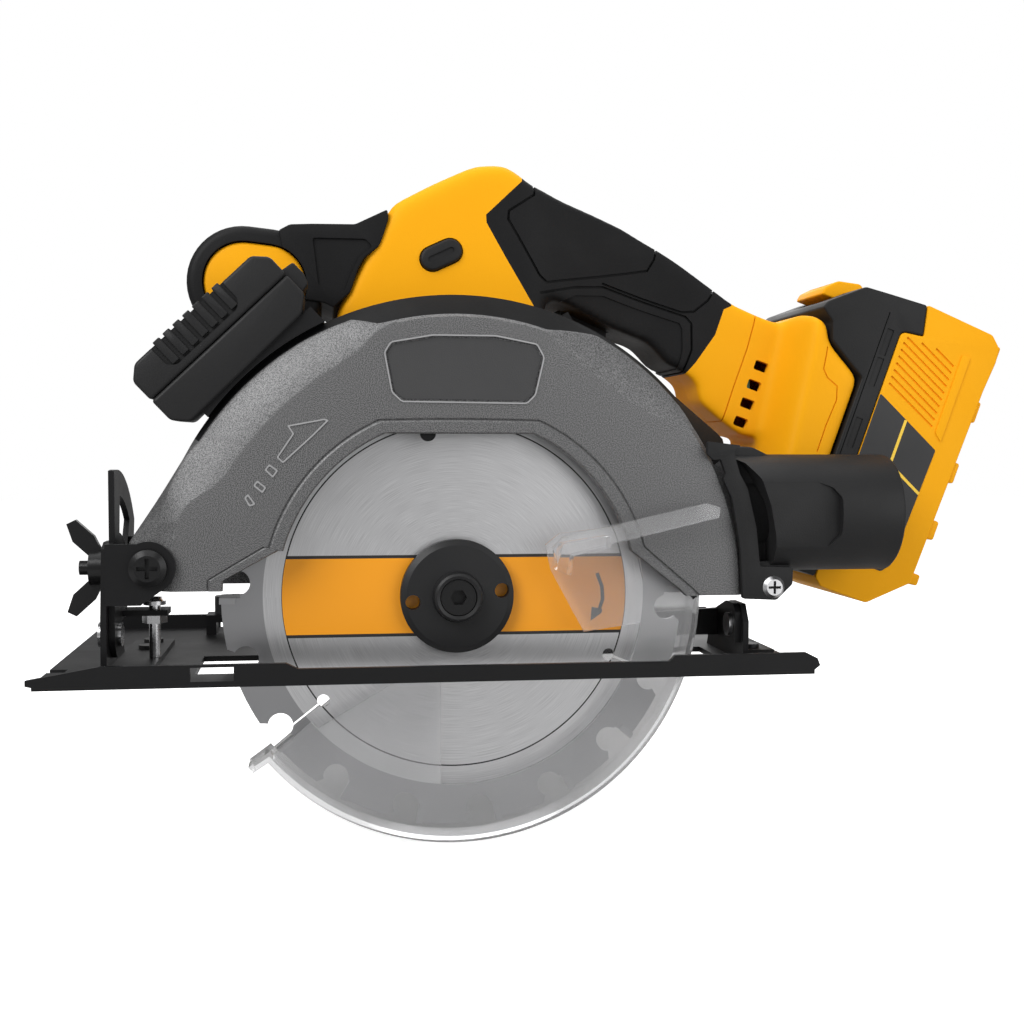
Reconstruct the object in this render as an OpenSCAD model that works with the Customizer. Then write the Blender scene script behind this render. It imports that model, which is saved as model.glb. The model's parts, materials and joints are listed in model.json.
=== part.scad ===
// Cordless circular saw with a 165 mm blade, modelled as the pieces it comes apart into.
// Frame: +X points to the rear (battery), +Y to the motor side, +Z up.
// The origin lies on the underside of the base plate, level with the arbor.
// Every module draws in the arbor frame (blade centre at zero) and at_arbor() places it.

/* [Blade] */
// Diameter over the carbide tips
blade_d = 165; // [160:1:168]
// Diameter of the blade's bore
bore_d = 20; // [20:1:22]
// Thickness of the steel blade plate
blade_t = 1.6; // [1.2:0.1:1.8]
// Width of a carbide tip, which is the kerf
kerf = 2.4; // [2:0.1:2.6]
// Number of teeth
teeth = 18; // [12:1:20]

/* [Arbor and motor] */
// Height of the arbor above the underside of the base
arbor_h = 26.4; // [26:0.1:28]
// Radius of the spindle
spindle_r = 6; // [5:0.5:6]
// Radius of the outer clamping flange
flange_r = 20; // [17:0.5:20]
// Motor axis behind the arbor
motor_x = 8; // [6:1:10]
// Motor axis above the arbor
motor_z = 23.7; // [23:0.1:26]
// Outer radius of the motor barrel
barrel_r = 31; // [30:0.5:31]
// Far end of the motor barrel, measured from the blade
barrel_end = 100; // [96:1:102]

/* [Guards] */
// Outer radius of the upper guard
guard_r = 105.5; // [104:0.5:106]
// Near face of the upper guard, measured from the blade
guard_near = -13; // [-14:0.5:-12.5]
// Far face of the upper guard, measured from the blade
guard_far = 13.5; // [13.5:0.1:14]
// Outer radius of the clear lower guard
lower_r = 87; // [86:0.5:88]
// Radius of the nose that the lower guard turns on
nose_r = 19.9; // [19.9:0.1:20]

/* [Base] */
// Distance from the blade to the near edge of the base
base_near = 27.2; // [26:0.2:28]
// Distance from the blade to the far edge of the base
base_far = 108.5; // [107:0.5:110]
// Front edge of the base plate
base_front = -140; // [-142:1:-138]
// Rear edge of the base plate
base_rear = 123; // [122:1:124]
// Thickness of the pressed steel
steel = 2; // [1.8:0.1:2]
// Height of the turned-up edges
lip_h = 7.5; // [7:0.5:8]

/* [Adjustments] */
// Height of the bevel pivots, measured from the arbor
bevel_z = -12; // [-12.5:0.5:-11.5]
// Radius from the bevel pivot to the locking stud
stud_r = 23; // [22:0.5:24]
// Depth pivot, measured from the arbor along X
pivot_x = -104.4; // [-105:0.2:-104]
// Depth pivot, measured from the arbor along Z
pivot_z = 12; // [11.5:0.5:12.5]
// Radius of the curved depth arm about the depth pivot
arm_r = 165; // [164:1:166]
// Largest change of depth, in degrees
depth_range = 28; // [20:1:28]

/* [Handle and battery] */
// Middle plane of the handle, measured from the blade
handle_y = 55; // [54:1:56]
// Half width of the grip
grip_half = 18; // [16:0.5:19]
// Half width of the front body
body_half = 35; // [34:0.5:35]
// Half width of the battery
pack_half = 36; // [34:0.5:36]
// Lean of the battery from the vertical, in degrees
pack_tilt = 19.6; // [19:0.1:20]
// Wall of the plastic shells
wall = 2.5; // [2:0.1:2.8]

/* [Hidden] */
$fn = 96;
origin_y = 40;            // the origin is this far from the blade, over solid plate
blade_r = blade_d / 2;
bore_r = bore_d / 2;
plate_top = -arbor_h + steel;
lip_top = -arbor_h + lip_h;
slot_near = -12;
slot_far = 27;
front_plate_x = -118.5;   // where the fixed and the swinging front brackets meet
rear_plate_x = 102.6;     // where the fixed and the swinging rear brackets meet
bolt_angle = -2;          // depth bolt seen from the depth pivot
bolt_x = pivot_x + arm_r * cos(bolt_angle);
bolt_z = pivot_z + arm_r * sin(bolt_angle);
arm_y0 = 15;
arm_y1 = 17.5;
pack_v0 = 122;            // battery frame: v to the rear, u up along the rails
pack_v1 = 174;
pack_u0 = 47;
pack_u1 = 162;
tray_v1 = 129.5;
box_angle = 43.6;         // the light module leans with the guard
box_x = -81;
box_z = 88.5;
port_y = -4;
port_z = 29;
port_r = 21;
port_bore_r = 18.5;
port_end = 157;
// fits and plate details that several pieces share
rivet_hole_r = 2.55;      // turning fit round a 5 mm rivet
pin_hole_r = 3.05;        // turning fit round a 6 mm pin
bracket_gap = 0.1;        // between a fixed bracket and the swinging one
arm_half = 7.5;           // half width of the curved depth arm
arm_slot_r = 3.3;         // half width of its slot
grip_skin_t = 2;          // thickness of the rubber skins on the grip
stop_x = -106;            // bevel stop screw
stop_y = 14.5;
guide_x = -83;            // guide bar screw
guide_y = 90;
lock_off_x = -3.5;        // lock-off button on the front body
lock_off_z = 122.5;
lock_off_lean = 25;
// each housing screw: x, z and the half width of the shell that it sits in
screw_places = [[-20, 120, body_half], [20, 147, body_half], [66, 118, grip_half - grip_skin_t],
    [98, 100, grip_half - grip_skin_t], [135, 60, pack_half], [20, 66, body_half]];

// ---- helpers ----
module at_arbor() { translate([0, -origin_y, arbor_h]) children(); }
module slab(y0, y1) { rotate([90, 0, 0]) translate([0, 0, -y1]) linear_extrude(y1 - y0) children(); }
module plate_x(x0, x1) { translate([x0, 0, 0]) rotate([90, 0, 90]) linear_extrude(x1 - x0) children(); }
module rod_x(r, x0, x1) { translate([x0, 0, 0]) rotate([0, 90, 0]) cylinder(r = r, h = x1 - x0); }
module rod_y(r, y0, y1) { translate([0, y0, 0]) rotate([-90, 0, 0]) cylinder(r = r, h = y1 - y0); }
module turned() { rotate([-90, 0, 0]) rotate_extrude() children(); }
module at_motor() { translate([motor_x, 0, motor_z]) children(); }
module at_depth_pivot() { translate([pivot_x, 0, pivot_z]) children(); }
module at_depth_bolt() { translate([bolt_x, 0, bolt_z]) children(); }
module at_pack() { rotate([0, pack_tilt, 0]) children(); }
module at_box() { translate([box_x, 0, box_z]) rotate([0, -box_angle, 0]) children(); }
module tube_y(r_in, r_out, y0, y1) {
    difference() {
        rod_y(r_out, y0, y1);
        rod_y(r_in, y0 - 1, y1 + 1);
    }
}
module block(p0, p1) { translate(p0) cube(p1 - p0); }
// Sector of a circle from angle a0 to a1, under 180 degrees
module wedge(r, a0, a1) {
    am = (a0 + a1) / 2;
    big = 2 * r;
    polygon([[0, 0], big * [cos(a0), sin(a0)], big * [cos(am), sin(am)], big * [cos(a1), sin(a1)]]);
}
module ring_part(r_in, r_out, a0, a1) {
    intersection() {
        difference() {
            circle(r = r_out);
            circle(r = r_in);
        }
        wedge(r_out, a0, a1);
    }
}
// Pan head screw with a cross recess, head up, thread down
module pan_screw(head_r, head_h, shank_r, length) {
    difference() {
        union() {
            cylinder(r = head_r, h = head_h * 0.55);
            translate([0, 0, head_h * 0.55]) cylinder(r1 = head_r, r2 = head_r * 0.7, h = head_h * 0.45);
        }
        for (turn = [0, 90])
            rotate([0, 0, turn]) translate([-head_r * 0.55, -head_r * 0.11, head_h * 0.5])
                cube([head_r * 1.1, head_r * 0.22, head_h]);
    }
    translate([0, 0, -length]) cylinder(r = shank_r, h = length);
}
module gear(count, r_root, r_tip, y0, y1) {
    tooth = 1.9;
    slab(y0, y1) {
        circle(r = r_root);
        for (i = [0 : count - 1])
            rotate(i * 360 / count) translate([r_root - 0.5, -tooth / 2])
                square([r_tip - r_root + 0.5, tooth]);
    }
}

// ---- base, which carries everything ----
module base_plate() {
    color("#202022") at_arbor() difference() {
        union() {
            block([base_front, -base_near, -arbor_h], [base_rear, base_far, plate_top]);
            slab(-base_near, -base_near + steel)
                polygon([[base_front - 2, -arbor_h + 1.6], [base_front + 5, -arbor_h],
                    [base_rear - 2, -arbor_h],
                    [base_rear + 2, -arbor_h + 3], [base_rear + 1, lip_top - 2], [base_rear - 3, lip_top],
                    [73, lip_top], [71, lip_top - 2], [-55, lip_top - 2], [-59, lip_top],
                    [-119, lip_top], [base_front - 2, -arbor_h + 3.4]]);
            block([base_front, base_far - steel, -arbor_h], [base_rear, base_far, lip_top]);
        }
        block([-90, slot_near, -arbor_h - 1], [97, slot_far, plate_top + 1]);
        // guide bar openings in both edges
        for (y = [-base_near - 1, base_far - steel - 1])
            block([-90, y, plate_top], [-76, y + steel + 2, plate_top + 4.6]);
        // clipped front corners and sight notch
        translate([base_front, base_far, 0]) rotate([0, 0, 45]) cube([10, 10, 80], center = true);
        block([base_front - 1, -3, -arbor_h - 1], [base_front + 6, 3, plate_top + 1]);
    }
}
module front_base_bracket() {
    color("#1d1d1f") at_arbor() {
        difference() {
            plate_x(front_plate_x - steel, front_plate_x)
                polygon([[-13, plate_top], [-13, -6], [-9, 18], [-4, 20], [4, 20], [9, 18], [17, -6],
                    [30, plate_top]]);
            translate([0, 0, bevel_z]) rod_x(rivet_hole_r, front_plate_x - 5, front_plate_x + 5);
            translate([0, 0, bevel_z + stud_r]) rod_x(2.5, front_plate_x - 5, front_plate_x + 5);
        }
        difference() {
            block([front_plate_x, -13, plate_top], [-104, 60, plate_top + steel]);
            for (y = [36, 52]) translate([-111, y, plate_top - 1]) cylinder(r = 2, h = 5);
        }
    }
}
module rear_base_bracket() {
    color("#1d1d1f") at_arbor() {
        difference() {
            plate_x(rear_plate_x, rear_plate_x + steel)
                polygon([[-10, plate_top], [-10, -10], [-6, -4], [6, -4], [20, -8], [32, -16],
                    [36, plate_top]]);
            translate([0, 0, bevel_z]) rod_x(rivet_hole_r, rear_plate_x - 3, rear_plate_x + 5);
        }
        difference() {
            block([rear_plate_x + steel, 4, plate_top], [119, 34, plate_top + steel]);
            for (y = [12, 27]) translate([112, y, plate_top - 1]) cylinder(r = 2, h = 5);
        }
    }
}
module bevel_pivot_rivets() {
    color("silver") at_arbor() translate([0, 0, bevel_z]) {
        rod_x(2.5, front_plate_x - steel - 1.5, front_plate_x + steel + 0.3);
        rod_x(4.2, front_plate_x - steel - 2.4, front_plate_x - steel);
        rod_x(4.2, front_plate_x + steel + 0.15, front_plate_x + steel + 1.4);
        rod_x(2.5, rear_plate_x - steel - 0.3, rear_plate_x + steel + 1);
        rod_x(4.2, rear_plate_x - steel - 1.4, rear_plate_x - steel - 0.15);
        rod_x(4.2, rear_plate_x + steel, rear_plate_x + steel + 1.2);
    }
}
module base_rivets() {
    color("#39393b") at_arbor() for (p = [[-111, 36], [-111, 52], [112, 12], [112, 27]])
        translate([p.x, p.y, 0]) {
            translate([0, 0, plate_top]) cylinder(r = 1.95, h = steel + 0.5);
            translate([0, 0, plate_top + steel]) cylinder(r = 3.6, h = 1.4);
        }
}
module bevel_stud() {
    color("#2c2c2e") at_arbor() translate([0, 0, bevel_z + stud_r]) {
        rod_x(2.45, -129, front_plate_x + steel + 0.5);
        rod_x(5, front_plate_x + steel + 0.4, front_plate_x + steel + 1.6);
    }
}
module bevel_wing_nut() {
    color("#18181a") at_arbor() translate([0, 0, bevel_z + stud_r]) difference() {
        union() {
            rod_x(6, -125.5, front_plate_x - steel - 0.1);
            for (side = [-1, 1]) slab(-1.6, 1.6)
                polygon([[-124.5, side * 3], [-121, side * 5], [-124, side * 11], [-130, side * 16.5],
                    [-133, side * 15], [-131, side * 9]]);
        }
        rod_x(2.5, -140, -110);
    }
}
// Swings about the bevel pivot: quadrant with a curved slot, and ears for the depth pivot
module front_swivel_bracket() {
    quad_r = 56.5;
    ear_near = -15.7;
    ear_far = 26.5;
    color("#1b1b1d") at_arbor() {
        difference() {
            plate_x(front_plate_x + bracket_gap, front_plate_x + bracket_gap + steel)
                translate([0, bevel_z]) difference() {
                union() {
                    intersection() {
                        circle(r = quad_r);
                        translate([-6, 3]) polygon([[0, 0], [44, 18], [60, 80], [0, 80]]);
                    }
                    circle(r = 8);
                    translate([ear_near, 11.5]) square([ear_far - ear_near + steel, 20.5]);
                    translate([-8, 0]) square([16, 14]);
                    translate([6, 4]) square([15, 10]);
                }
                circle(r = rivet_hole_r);
                ring_part(stud_r - 2.75, stud_r + 2.75, 38, 90);
                translate([0, stud_r]) circle(r = 2.75);
                ring_part(35, 48, 52, 82);
            }
        }
        for (y = [ear_near, ear_far]) slab(y, y + steel) difference() {
            union() {
                polygon([[front_plate_x + steel + bracket_gap, -0.5], [-107, -0.5],
                    [pivot_x + 6.5, pivot_z - 6],
                    [pivot_x + 6, pivot_z + 6.5], [-107, 20], [front_plate_x + steel + bracket_gap, 20]]);
                translate([pivot_x, pivot_z]) circle(r = 8.8);
            }
            translate([pivot_x, pivot_z]) circle(r = pin_hole_r);
        }
        // tab for the bevel stop screw
        difference() {
            block([front_plate_x + steel + bracket_gap, 9, -7], [-101, 20, -5]);
            translate([stop_x, stop_y, -12]) cylinder(r = 2.05, h = 12);
        }
    }
}
module rear_swivel_bracket() {
    color("#1b1b1d") at_arbor() {
        difference() {
            plate_x(rear_plate_x - bracket_gap - steel, rear_plate_x - bracket_gap)
                polygon([[-7, bevel_z - 6], [-7, bevel_z + 5], [-4, bevel_z + 8], [5, bevel_z + 8],
                    [arm_y1, bevel_z + 4], [arm_y1, bevel_z - 6]]);
            translate([0, 0, bevel_z]) rod_x(rivet_hole_r, rear_plate_x - 5, rear_plate_x + 5);
        }
    }
}
module depth_arm() {
    color("#2a2a2c") at_arbor() slab(arm_y0, arm_y1) {
        translate([pivot_x, pivot_z]) difference() {
            ring_part(arm_r - arm_half, arm_r + arm_half, -8, 31.5);
            ring_part(arm_r - arm_slot_r, arm_r + arm_slot_r, bolt_angle, bolt_angle + depth_range);
            for (a = [bolt_angle, bolt_angle + depth_range])
                translate([arm_r * cos(a), arm_r * sin(a)]) circle(r = arm_slot_r);
        }
        polygon([[53, -18], [53, -10], [rear_plate_x - bracket_gap - steel, -8],
            [rear_plate_x - bracket_gap - steel, -18]]);
    }
}
module bevel_stop_screw() {
    color("silver") at_arbor() translate([stop_x, stop_y, 0]) {
        translate([0, 0, -3.6]) pan_screw(3.9, 2.6, 2, 18.7);
        translate([0, 0, -10]) difference() {
            cylinder(r = 4.4, h = 2.95, $fn = 6);
            translate([0, 0, -1]) cylinder(r = 2.02, h = 5);
        }
    }
}
module guide_clamp() {
    color("#1d1d1f") at_arbor() difference() {
        block([-94, 84, plate_top], [-72, 96, plate_top + 8]);
        block([-90, 83, plate_top - 1], [-76, 97, plate_top + 5]);
        translate([guide_x, guide_y, plate_top]) cylinder(r = rivet_hole_r, h = 12);
    }
}
module guide_screw() {
    color("#18181a") at_arbor() translate([guide_x, guide_y, plate_top]) difference() {
        union() {
            translate([0, 0, 5.1]) cylinder(r = 2.5, h = 7.5);
            translate([0, 0, 8.2]) cylinder(r = 8, h = 7);
        }
        for (i = [0 : 9]) rotate([0, 0, i * 36]) translate([8.6, 0, 8]) cylinder(r = 1.3, h = 8, $fn = 24);
    }
}

// ---- guards ----
module guard_outline() {
    difference() {
        union() {
            circle(r = guard_r);
            polygon([[-94, 48], [pivot_x - 8, 18], [pivot_x - 7, pivot_z - 6], [pivot_x, pivot_z - 8],
                [-60, 4], [-60, 48]]);
            translate([pivot_x, pivot_z]) circle(r = 8);
            polygon([[60, 86], [96, 56], [102, 33], [103.5, 14], [101, 0], [60, 0]]);
        }
        translate([-200, -200]) square([400, 200]);
        translate([-200, -1]) square([140, 5]);
    }
}
// Opening in the near wall, through which the blade shows
module guard_window() {
    intersection() {
        circle(r = 62.5);
        translate([-70, -70]) square([140, 127]);
    }
    polygon([[-80.5, 4], [-62, 16.3], [62.5, 14.5], [80.3, 0], [80, -40], [-80, -40]]);
}
module upper_guard() {
    hollow_r = guard_r - 3;
    color("#5e5e60") at_arbor() difference() {
        union() {
            slab(guard_near, guard_near + 5) intersection() {
                guard_outline();
                union() {
                    circle(r = guard_r - 4.5);
                    polygon([[-60, 0], [pivot_x + 12, 0], [pivot_x + 10, 40], [-60, 70]]);
                    polygon([[60, 0], [101, 0], [101, 50], [60, 80]]);
                }
            }
            slab(guard_near + 5, guard_far) guard_outline();
            at_depth_pivot() rod_y(6.5, guard_far - 0.1, 26.3);
            slab(guard_far - 2.5, guard_far) intersection() {
                circle(r = 30);
                translate([-40, -22.5]) square([80, 60]);
            }
        }
        // hollow that the blade and the lower guard turn in
        slab(guard_near + 2.5, guard_far - 2.5) {
            intersection() {
                circle(r = hollow_r - 5);
                translate([-93, -60]) square([189, 200]);
            }
            translate([-86, -60]) square([172, 70]);
        }
        slab(-4, guard_far - 2.5) intersection() {
            circle(r = hollow_r);
            translate([-93, -60]) square([189, 200]);
        }
        slab(guard_near - 1, guard_near + 4) guard_window();
        rod_y(nose_r + 0.2, 0, 30);
        at_depth_pivot() rod_y(pin_hole_r, -30, 30);
        at_depth_bolt() rod_y(pin_hole_r, 0, 30);
        // chip outlet into the dust port
        translate([0, port_y, port_z]) rod_x(11, 80, 130);
    }
}
module depth_pivot_screw() {
    color("#141416") at_arbor() at_depth_pivot() {
        translate([0, -15.8, 0]) rotate([90, 0, 0]) pan_screw(6.2, 3, 3, 47);
        difference() {
            rod_y(5.2, 28.7, 32.2);
            rod_y(3, 28, 33);
        }
    }
}
module depth_bolt() {
    color("#77777a") at_arbor() at_depth_bolt() {
        rod_y(5.5, 9.1, 10.95);
        rod_y(3, 10.9, 27.5);
    }
}
module depth_lever() {
    color("#18181a") at_arbor() at_depth_bolt() difference() {
        union() {
            rod_y(8.5, arm_y1 + 0.4, 26);
            slab(19.5, 25) polygon([[0, -8], [34, 4], [37, 8], [35, 12], [30, 13], [0, 8]]);
        }
        rod_y(pin_hole_r, 10, 40);
    }
}
// Clear guard that covers the blade below the base and swings back into the upper guard
module lower_guard() {
    near_y = -7;
    far_y = 7;
    skin = 1.8;
    front_a = -140;
    rear_a = 24;
    mid_a = (front_a + rear_a) / 2;
    color([0.86, 0.88, 0.9, 0.45]) at_arbor() {
        // near wall: outer band, front web and the plate under the lever
        slab(near_y, near_y + skin) {
            for (a = [[front_a, mid_a], [mid_a, rear_a]]) ring_part(66.5, lower_r, a[0], a[1]);
            difference() {
                polygon([[-65.5, -55], [-20, -28.5], [-6, -24], [-6, -67], [-40, -60]]);
                circle(r = 23);
            }
            polygon([[31, 18], [36, 22], [62, 25], [67, 2], [66, -10], [45, -13], [33, 9]]);
        }
        // rim over the teeth
        slab(near_y, far_y) for (a = [[front_a, mid_a], [mid_a, rear_a]])
            ring_part(lower_r - skin, lower_r, a[0], a[1]);
        // far wall and hub
        slab(far_y - skin, far_y) {
            difference() {
                for (a = [[front_a, mid_a], [mid_a, rear_a]]) ring_part(24, lower_r, a[0], a[1]);
                circle(r = 24);
            }
        }
        tube_y(nose_r + 0.1, 25, far_y - skin, far_y + 1.4);
        // foot at the leading edge
        slab(near_y, far_y) rotate(front_a) polygon([[lower_r - 3, -1.6], [93, -2.2], [93, 0.4],
            [lower_r - 3, 1.6]]);
        // lifting lever, standing off the near wall
        slab(-18.5, near_y) polygon([[33, 10], [35.5, 19], [52, 21.5], [52, 17.5], [39, 15], [38, 8]]);
        slab(-20.5, -17) polygon([[33, 12], [31.5, 18], [35, 21.5], [86, 33], [90.5, 31.5], [90, 28],
            [60, 21],
            [38, 16], [37, 11]]);
    }
}
module guard_return_spring() {
    wire = 0.55;
    color("silver") at_arbor() for (y = [9.2, 10.35])
        translate([0, y, 0]) turned() translate([nose_r + wire + 0.6, 0]) circle(r = wire, $fn = 24);
}
module dust_port() {
    color("#161618") at_arbor() difference() {
        union() {
            translate([0, port_y, port_z]) rod_x(port_r, 104, port_end);
            slab(-16, 12.5) polygon([[103.8, 12], [102.3, 33], [96.4, 56.2], [94, 60], [103, 57],
                [112, 49.5], [118, 46],
                [118, 12], [112, 8.5], [108, -1], [101.3, -1.2], [101.3, 0]]);
            slab(-14.5, -10) {
                polygon([[101.3, 0], [101.3, -1.2], [107, -3], [119, 0], [119, 12], [104, 12]]);
                translate([111.5, 3]) circle(r = 6);
            }
        }
        translate([0, port_y, port_z]) rod_x(port_bore_r, 122, port_end + 1);
        translate([0, port_y, port_z]) rod_x(12, 80, 130);
        block([118, -40, port_z - 13], [146, port_y - port_r + 1.2, port_z + 13]);
        translate([111.5, 0, 3]) rod_y(2.05, -20, 20);
        translate([111.5, 0, 3]) rod_y(5.6, -20, -14.5);
        // clear of the upper guard's rear edge
        slab(-30, 30) guard_outline();
    }
}
module dust_port_screw() {
    color("silver") at_arbor() translate([111.5, -14.6, 3]) rotate([90, 0, 0]) pan_screw(4.1, 3, 2, 14);
}

// ---- blade and arbor ----
module blade_outline() {
    tip_face = 76.8;
    difference() {
        circle(r = blade_r - 0.7);
        circle(r = bore_r);
        for (i = [0 : teeth - 1]) rotate(i * 360 / teeth) {
            translate([tip_face, -0.05]) square([9, 2.25]);
            translate([76.3, -5.2]) circle(r = 4.4, $fn = 48);
            polygon([[tip_face - 1.5, 0], [84, 0], [84, -13], [79.6, -9.1], [76.3, -5.2]]);
        }
        // expansion slots
        for (i = [0 : 2]) rotate(i * 120 - 22) {
            translate([59.5, 0]) circle(r = 2.2, $fn = 32);
            translate([59.5, -0.4]) square([14, 0.8]);
        }
    }
}
module saw_blade() {
    color("#c8c8ca") at_arbor() slab(-blade_t / 2, blade_t / 2) blade_outline();
}
module carbide_tips() {
    color("#8c8c90") at_arbor() slab(-kerf / 2, kerf / 2) for (i = [0 : teeth - 1])
        rotate(i * 360 / teeth) translate([76.85, 0]) square([blade_r - 76.85 - 0.05, 2.15]);
}
module inner_flange() {
    color("#48484b") at_arbor() turned() polygon([[spindle_r, -0.7], [bore_r - 0.02, -0.7],
        [bore_r - 0.02, 0.8],
        [17, 0.8], [17, 3.4], [16, 4.4], [spindle_r, 4.4]]);
}
module outer_flange() {
    color("#1b1b1d") at_arbor() difference() {
        turned() polygon([[3.1, -5.2], [6.5, -5.2], [6.5, -9.8], [7.6, -10.2], [8.4, -9.6], [9, -6.3],
            [flange_r - 2, -5.6], [flange_r, -4.6], [flange_r, -0.8], [12, -0.8], [12, -1.3], [3.1, -1.3]]);
        for (side = [0, 180]) rotate([0, -7 - side, 0]) translate([15.8, 0, 0]) rod_y(2.6, -12, 2);
    }
}
module arbor_bolt() {
    color("#2b2b2d") at_arbor() {
        difference() {
            rod_y(6.2, -9.2, -5.2);
            translate([0, -9.4, 0]) rotate([-90, 0, 0]) cylinder(r = 2.9, h = 3, $fn = 6);
        }
        rod_y(3, -5.3, 14);
    }
}
module spindle() {
    color("#8d8d90") at_arbor() tube_y(3.02, spindle_r - 0.01, -0.7, 41);
}
module spindle_gear() {
    color("#9a9a9d") at_arbor() difference() {
        gear(30, 17.6, 18.6, 24, 31);
        rod_y(spindle_r, 20, 40);
    }
}
module spindle_bearings() {
    color("#b5b5b8") at_arbor() {
        tube_y(spindle_r, 8, 13, 20);
        tube_y(8.6, 13, 13, 20);
        tube_y(8, 8.6, 14, 19);
        tube_y(spindle_r, 10.5, 34.5, 40);
    }
}
module gear_case_outline(r_arbor, r_motor) {
    difference() {
        union() {
            circle(r = r_arbor);
            translate([motor_x, motor_z]) circle(r = r_motor);
            polygon([[-r_arbor, 0], [r_arbor, 0], [motor_x + r_motor, motor_z],
                [motor_x - r_motor, motor_z]]);
        }
        translate([-60, -122.5]) square([120, 100]);
    }
}
module gear_housing() {
    color("#55565a") at_arbor() difference() {
        union() {
            rod_y(nose_r, 4.9, guard_far);
            slab(guard_far, 42) gear_case_outline(22.5, barrel_r);
            // lug that ties the housing shells to the castings
            slab(guard_far, 19.8) translate([-30, 40]) square([53, 54]);
        }
        slab(22, 32.5) gear_case_outline(19.6, barrel_r - 3);
        slab(32.4, 43) translate([motor_x, motor_z]) circle(r = 17);
        rod_y(spindle_r + 0.5, 4, 45);
        rod_y(13, 13, 22.5);
        rod_y(10.5, 32, 40);
        at_motor() rod_y(8.05, 16.5, 23);
        translate([0, 27, 6]) rod_x(4.05, -40, -10);
    }
}
module spindle_lock_button() {
    color("#141416") at_arbor() translate([0, 27, 6]) {
        rod_x(4, -26.2, -22.2);
        rod_x(6.5, -29, -26.2);
    }
}

// ---- motor ----
module motor_shaft() {
    color("#a0a0a3") at_arbor() at_motor() {
        rod_y(3.2, 17, 102.2);
        gear(10, 5.1, 5.8, 24, 31);
    }
}
module motor_rotor() {
    color("#6b6b70") at_arbor() at_motor() tube_y(3.2, 14, 50, 90);
}
module motor_bearings() {
    color("#b5b5b8") at_arbor() at_motor() {
        tube_y(3.21, 8, 17, 22);
        tube_y(3.21, 8, 97, 102);
    }
}
module cooling_fan() {
    color("#2f2f31") at_arbor() at_motor() {
        tube_y(3.2, 24, 44, 45.2);
        for (i = [0 : 10]) rotate([0, i * 360 / 11, 0]) block([9, 45.1, -0.5], [23, 48.6, 0.5]);
    }
}
module motor_stator() {
    color("#3f3f44") at_arbor() at_motor() tube_y(14.6, 27.8, 50, 90);
}
module motor_barrel() {
    color("#f39a1c") at_arbor() at_motor() difference() {
        rod_y(barrel_r, 42, barrel_end);
        rod_y(barrel_r - 3, 41, barrel_end + 1);
        // cooling slots near the far end
        for (i = [0 : 7]) rotate([0, i * 45 + 22, 0]) block([26, 92, -4], [34, 96, 4]);
    }
}
module motor_end_cap() {
    color("#18181a") at_arbor() at_motor() difference() {
        turned() polygon([[0, 102.4], [8.1, 102.4], [8.1, 97], [12, 97], [12, 100.1], [barrel_r, 100.1],
            [barrel_r, 104], [barrel_r - 4, 108], [0, 108]]);
        for (a = [30 : 60 : 330]) rotate([0, a, 0]) block([14, 98, -2], [24, 112, 2]);
    }
}

// ---- handle shells ----
module front_outline() {
    polygon([[-38, 104], [-32, 121], [-21, 141], [-6, 148.5], [9, 155.5], [22, 156.5], [30, 149.5],
        [44, 145],
        [44, 105], [44, 72], [32, 57], [-18, 57], [-36, 72]]);
}
module handle_outline() {
    polygon([[30, 149.5], [47, 144], [71, 135], [86, 125.5], [100, 117], [112, 108], [126, 100], [126, 70],
        [106, 68], [99, 82], [92, 82], [85, 85], [78, 92.5], [62, 98], [46, 105], [30, 109]]);
}
module foot_outline() {
    polygon([[112, 106], [118, 102], [126, 100], [141, 104.5], [146, 101.5], [147, 92], [158, 81],
        [131.7, 6.5],
        [124, 6], [119, 20], [117, 50], [106, 66], [108, 84]]);
}
// One hollow half of the shell: side is -1 for the right half and 1 for the left
module shell_half(side) {
    y_front = side < 0 ? [handle_y - body_half, handle_y] : [handle_y, handle_y + body_half];
    y_grip = side < 0 ? [handle_y - grip_half + grip_skin_t, handle_y]
        : [handle_y, handle_y + grip_half - grip_skin_t];
    y_foot = side < 0 ? [handle_y - pack_half, handle_y] : [handle_y, handle_y + pack_half];
    near = side < 0 ? wall : -1;
    far = side < 0 ? 1 : -wall;
    difference() {
        union() {
            slab(y_front[0], y_front[1]) front_outline();
            slab(y_grip[0], y_grip[1]) handle_outline();
            slab(y_foot[0], y_foot[1]) foot_outline();
        }
        slab(y_front[0] + near, y_front[1] + far) offset(delta = -wall) front_outline();
        slab(y_grip[0] + near, y_grip[1] + far) offset(delta = -wall) handle_outline();
        slab(y_foot[0] + near, y_foot[1] + far) offset(delta = -wall) foot_outline();
        // joins between the three hollows
        slab(handle_y - 12, handle_y + 12) polygon([[36, 140], [60, 132], [60, 104], [36, 112]]);
        slab(handle_y - 12, handle_y + 12) polygon([[100, 108], [122, 96], [122, 74], [108, 76]]);
        // openings for the trigger, the lock-off button, the vents and the terminals
        block([45, handle_y - 7.5, 92], [65, handle_y + 7.5, 118]);
        translate([lock_off_x, 0, lock_off_z]) rotate([0, -lock_off_lean, 0]) block([-8.3, 0, -4.6],
            [8.3, 40, 4.6]);
        for (i = [0 : 3]) translate([122.5 - 2.7 * i, 0, 84 - 7.3 * i]) rotate([0, 20, 0])
            block([-2.6, 0, -1.9], [2.6, handle_y - 20, 1.9]);
        at_pack() block([pack_v0 - 10, handle_y - 15, 70], [pack_v0 + 1, handle_y + 15, 106]);
    }
}
module main_housing_right() {
    color("#f7971b") at_arbor() shell_half(-1);
}
module main_housing_left() {
    color("#f7971b") at_arbor() difference() {
        shell_half(1);
        for (p = screw_places) translate([p.x, 0, p.y]) rod_y(1.75, 50, 120);
    }
}
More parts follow.
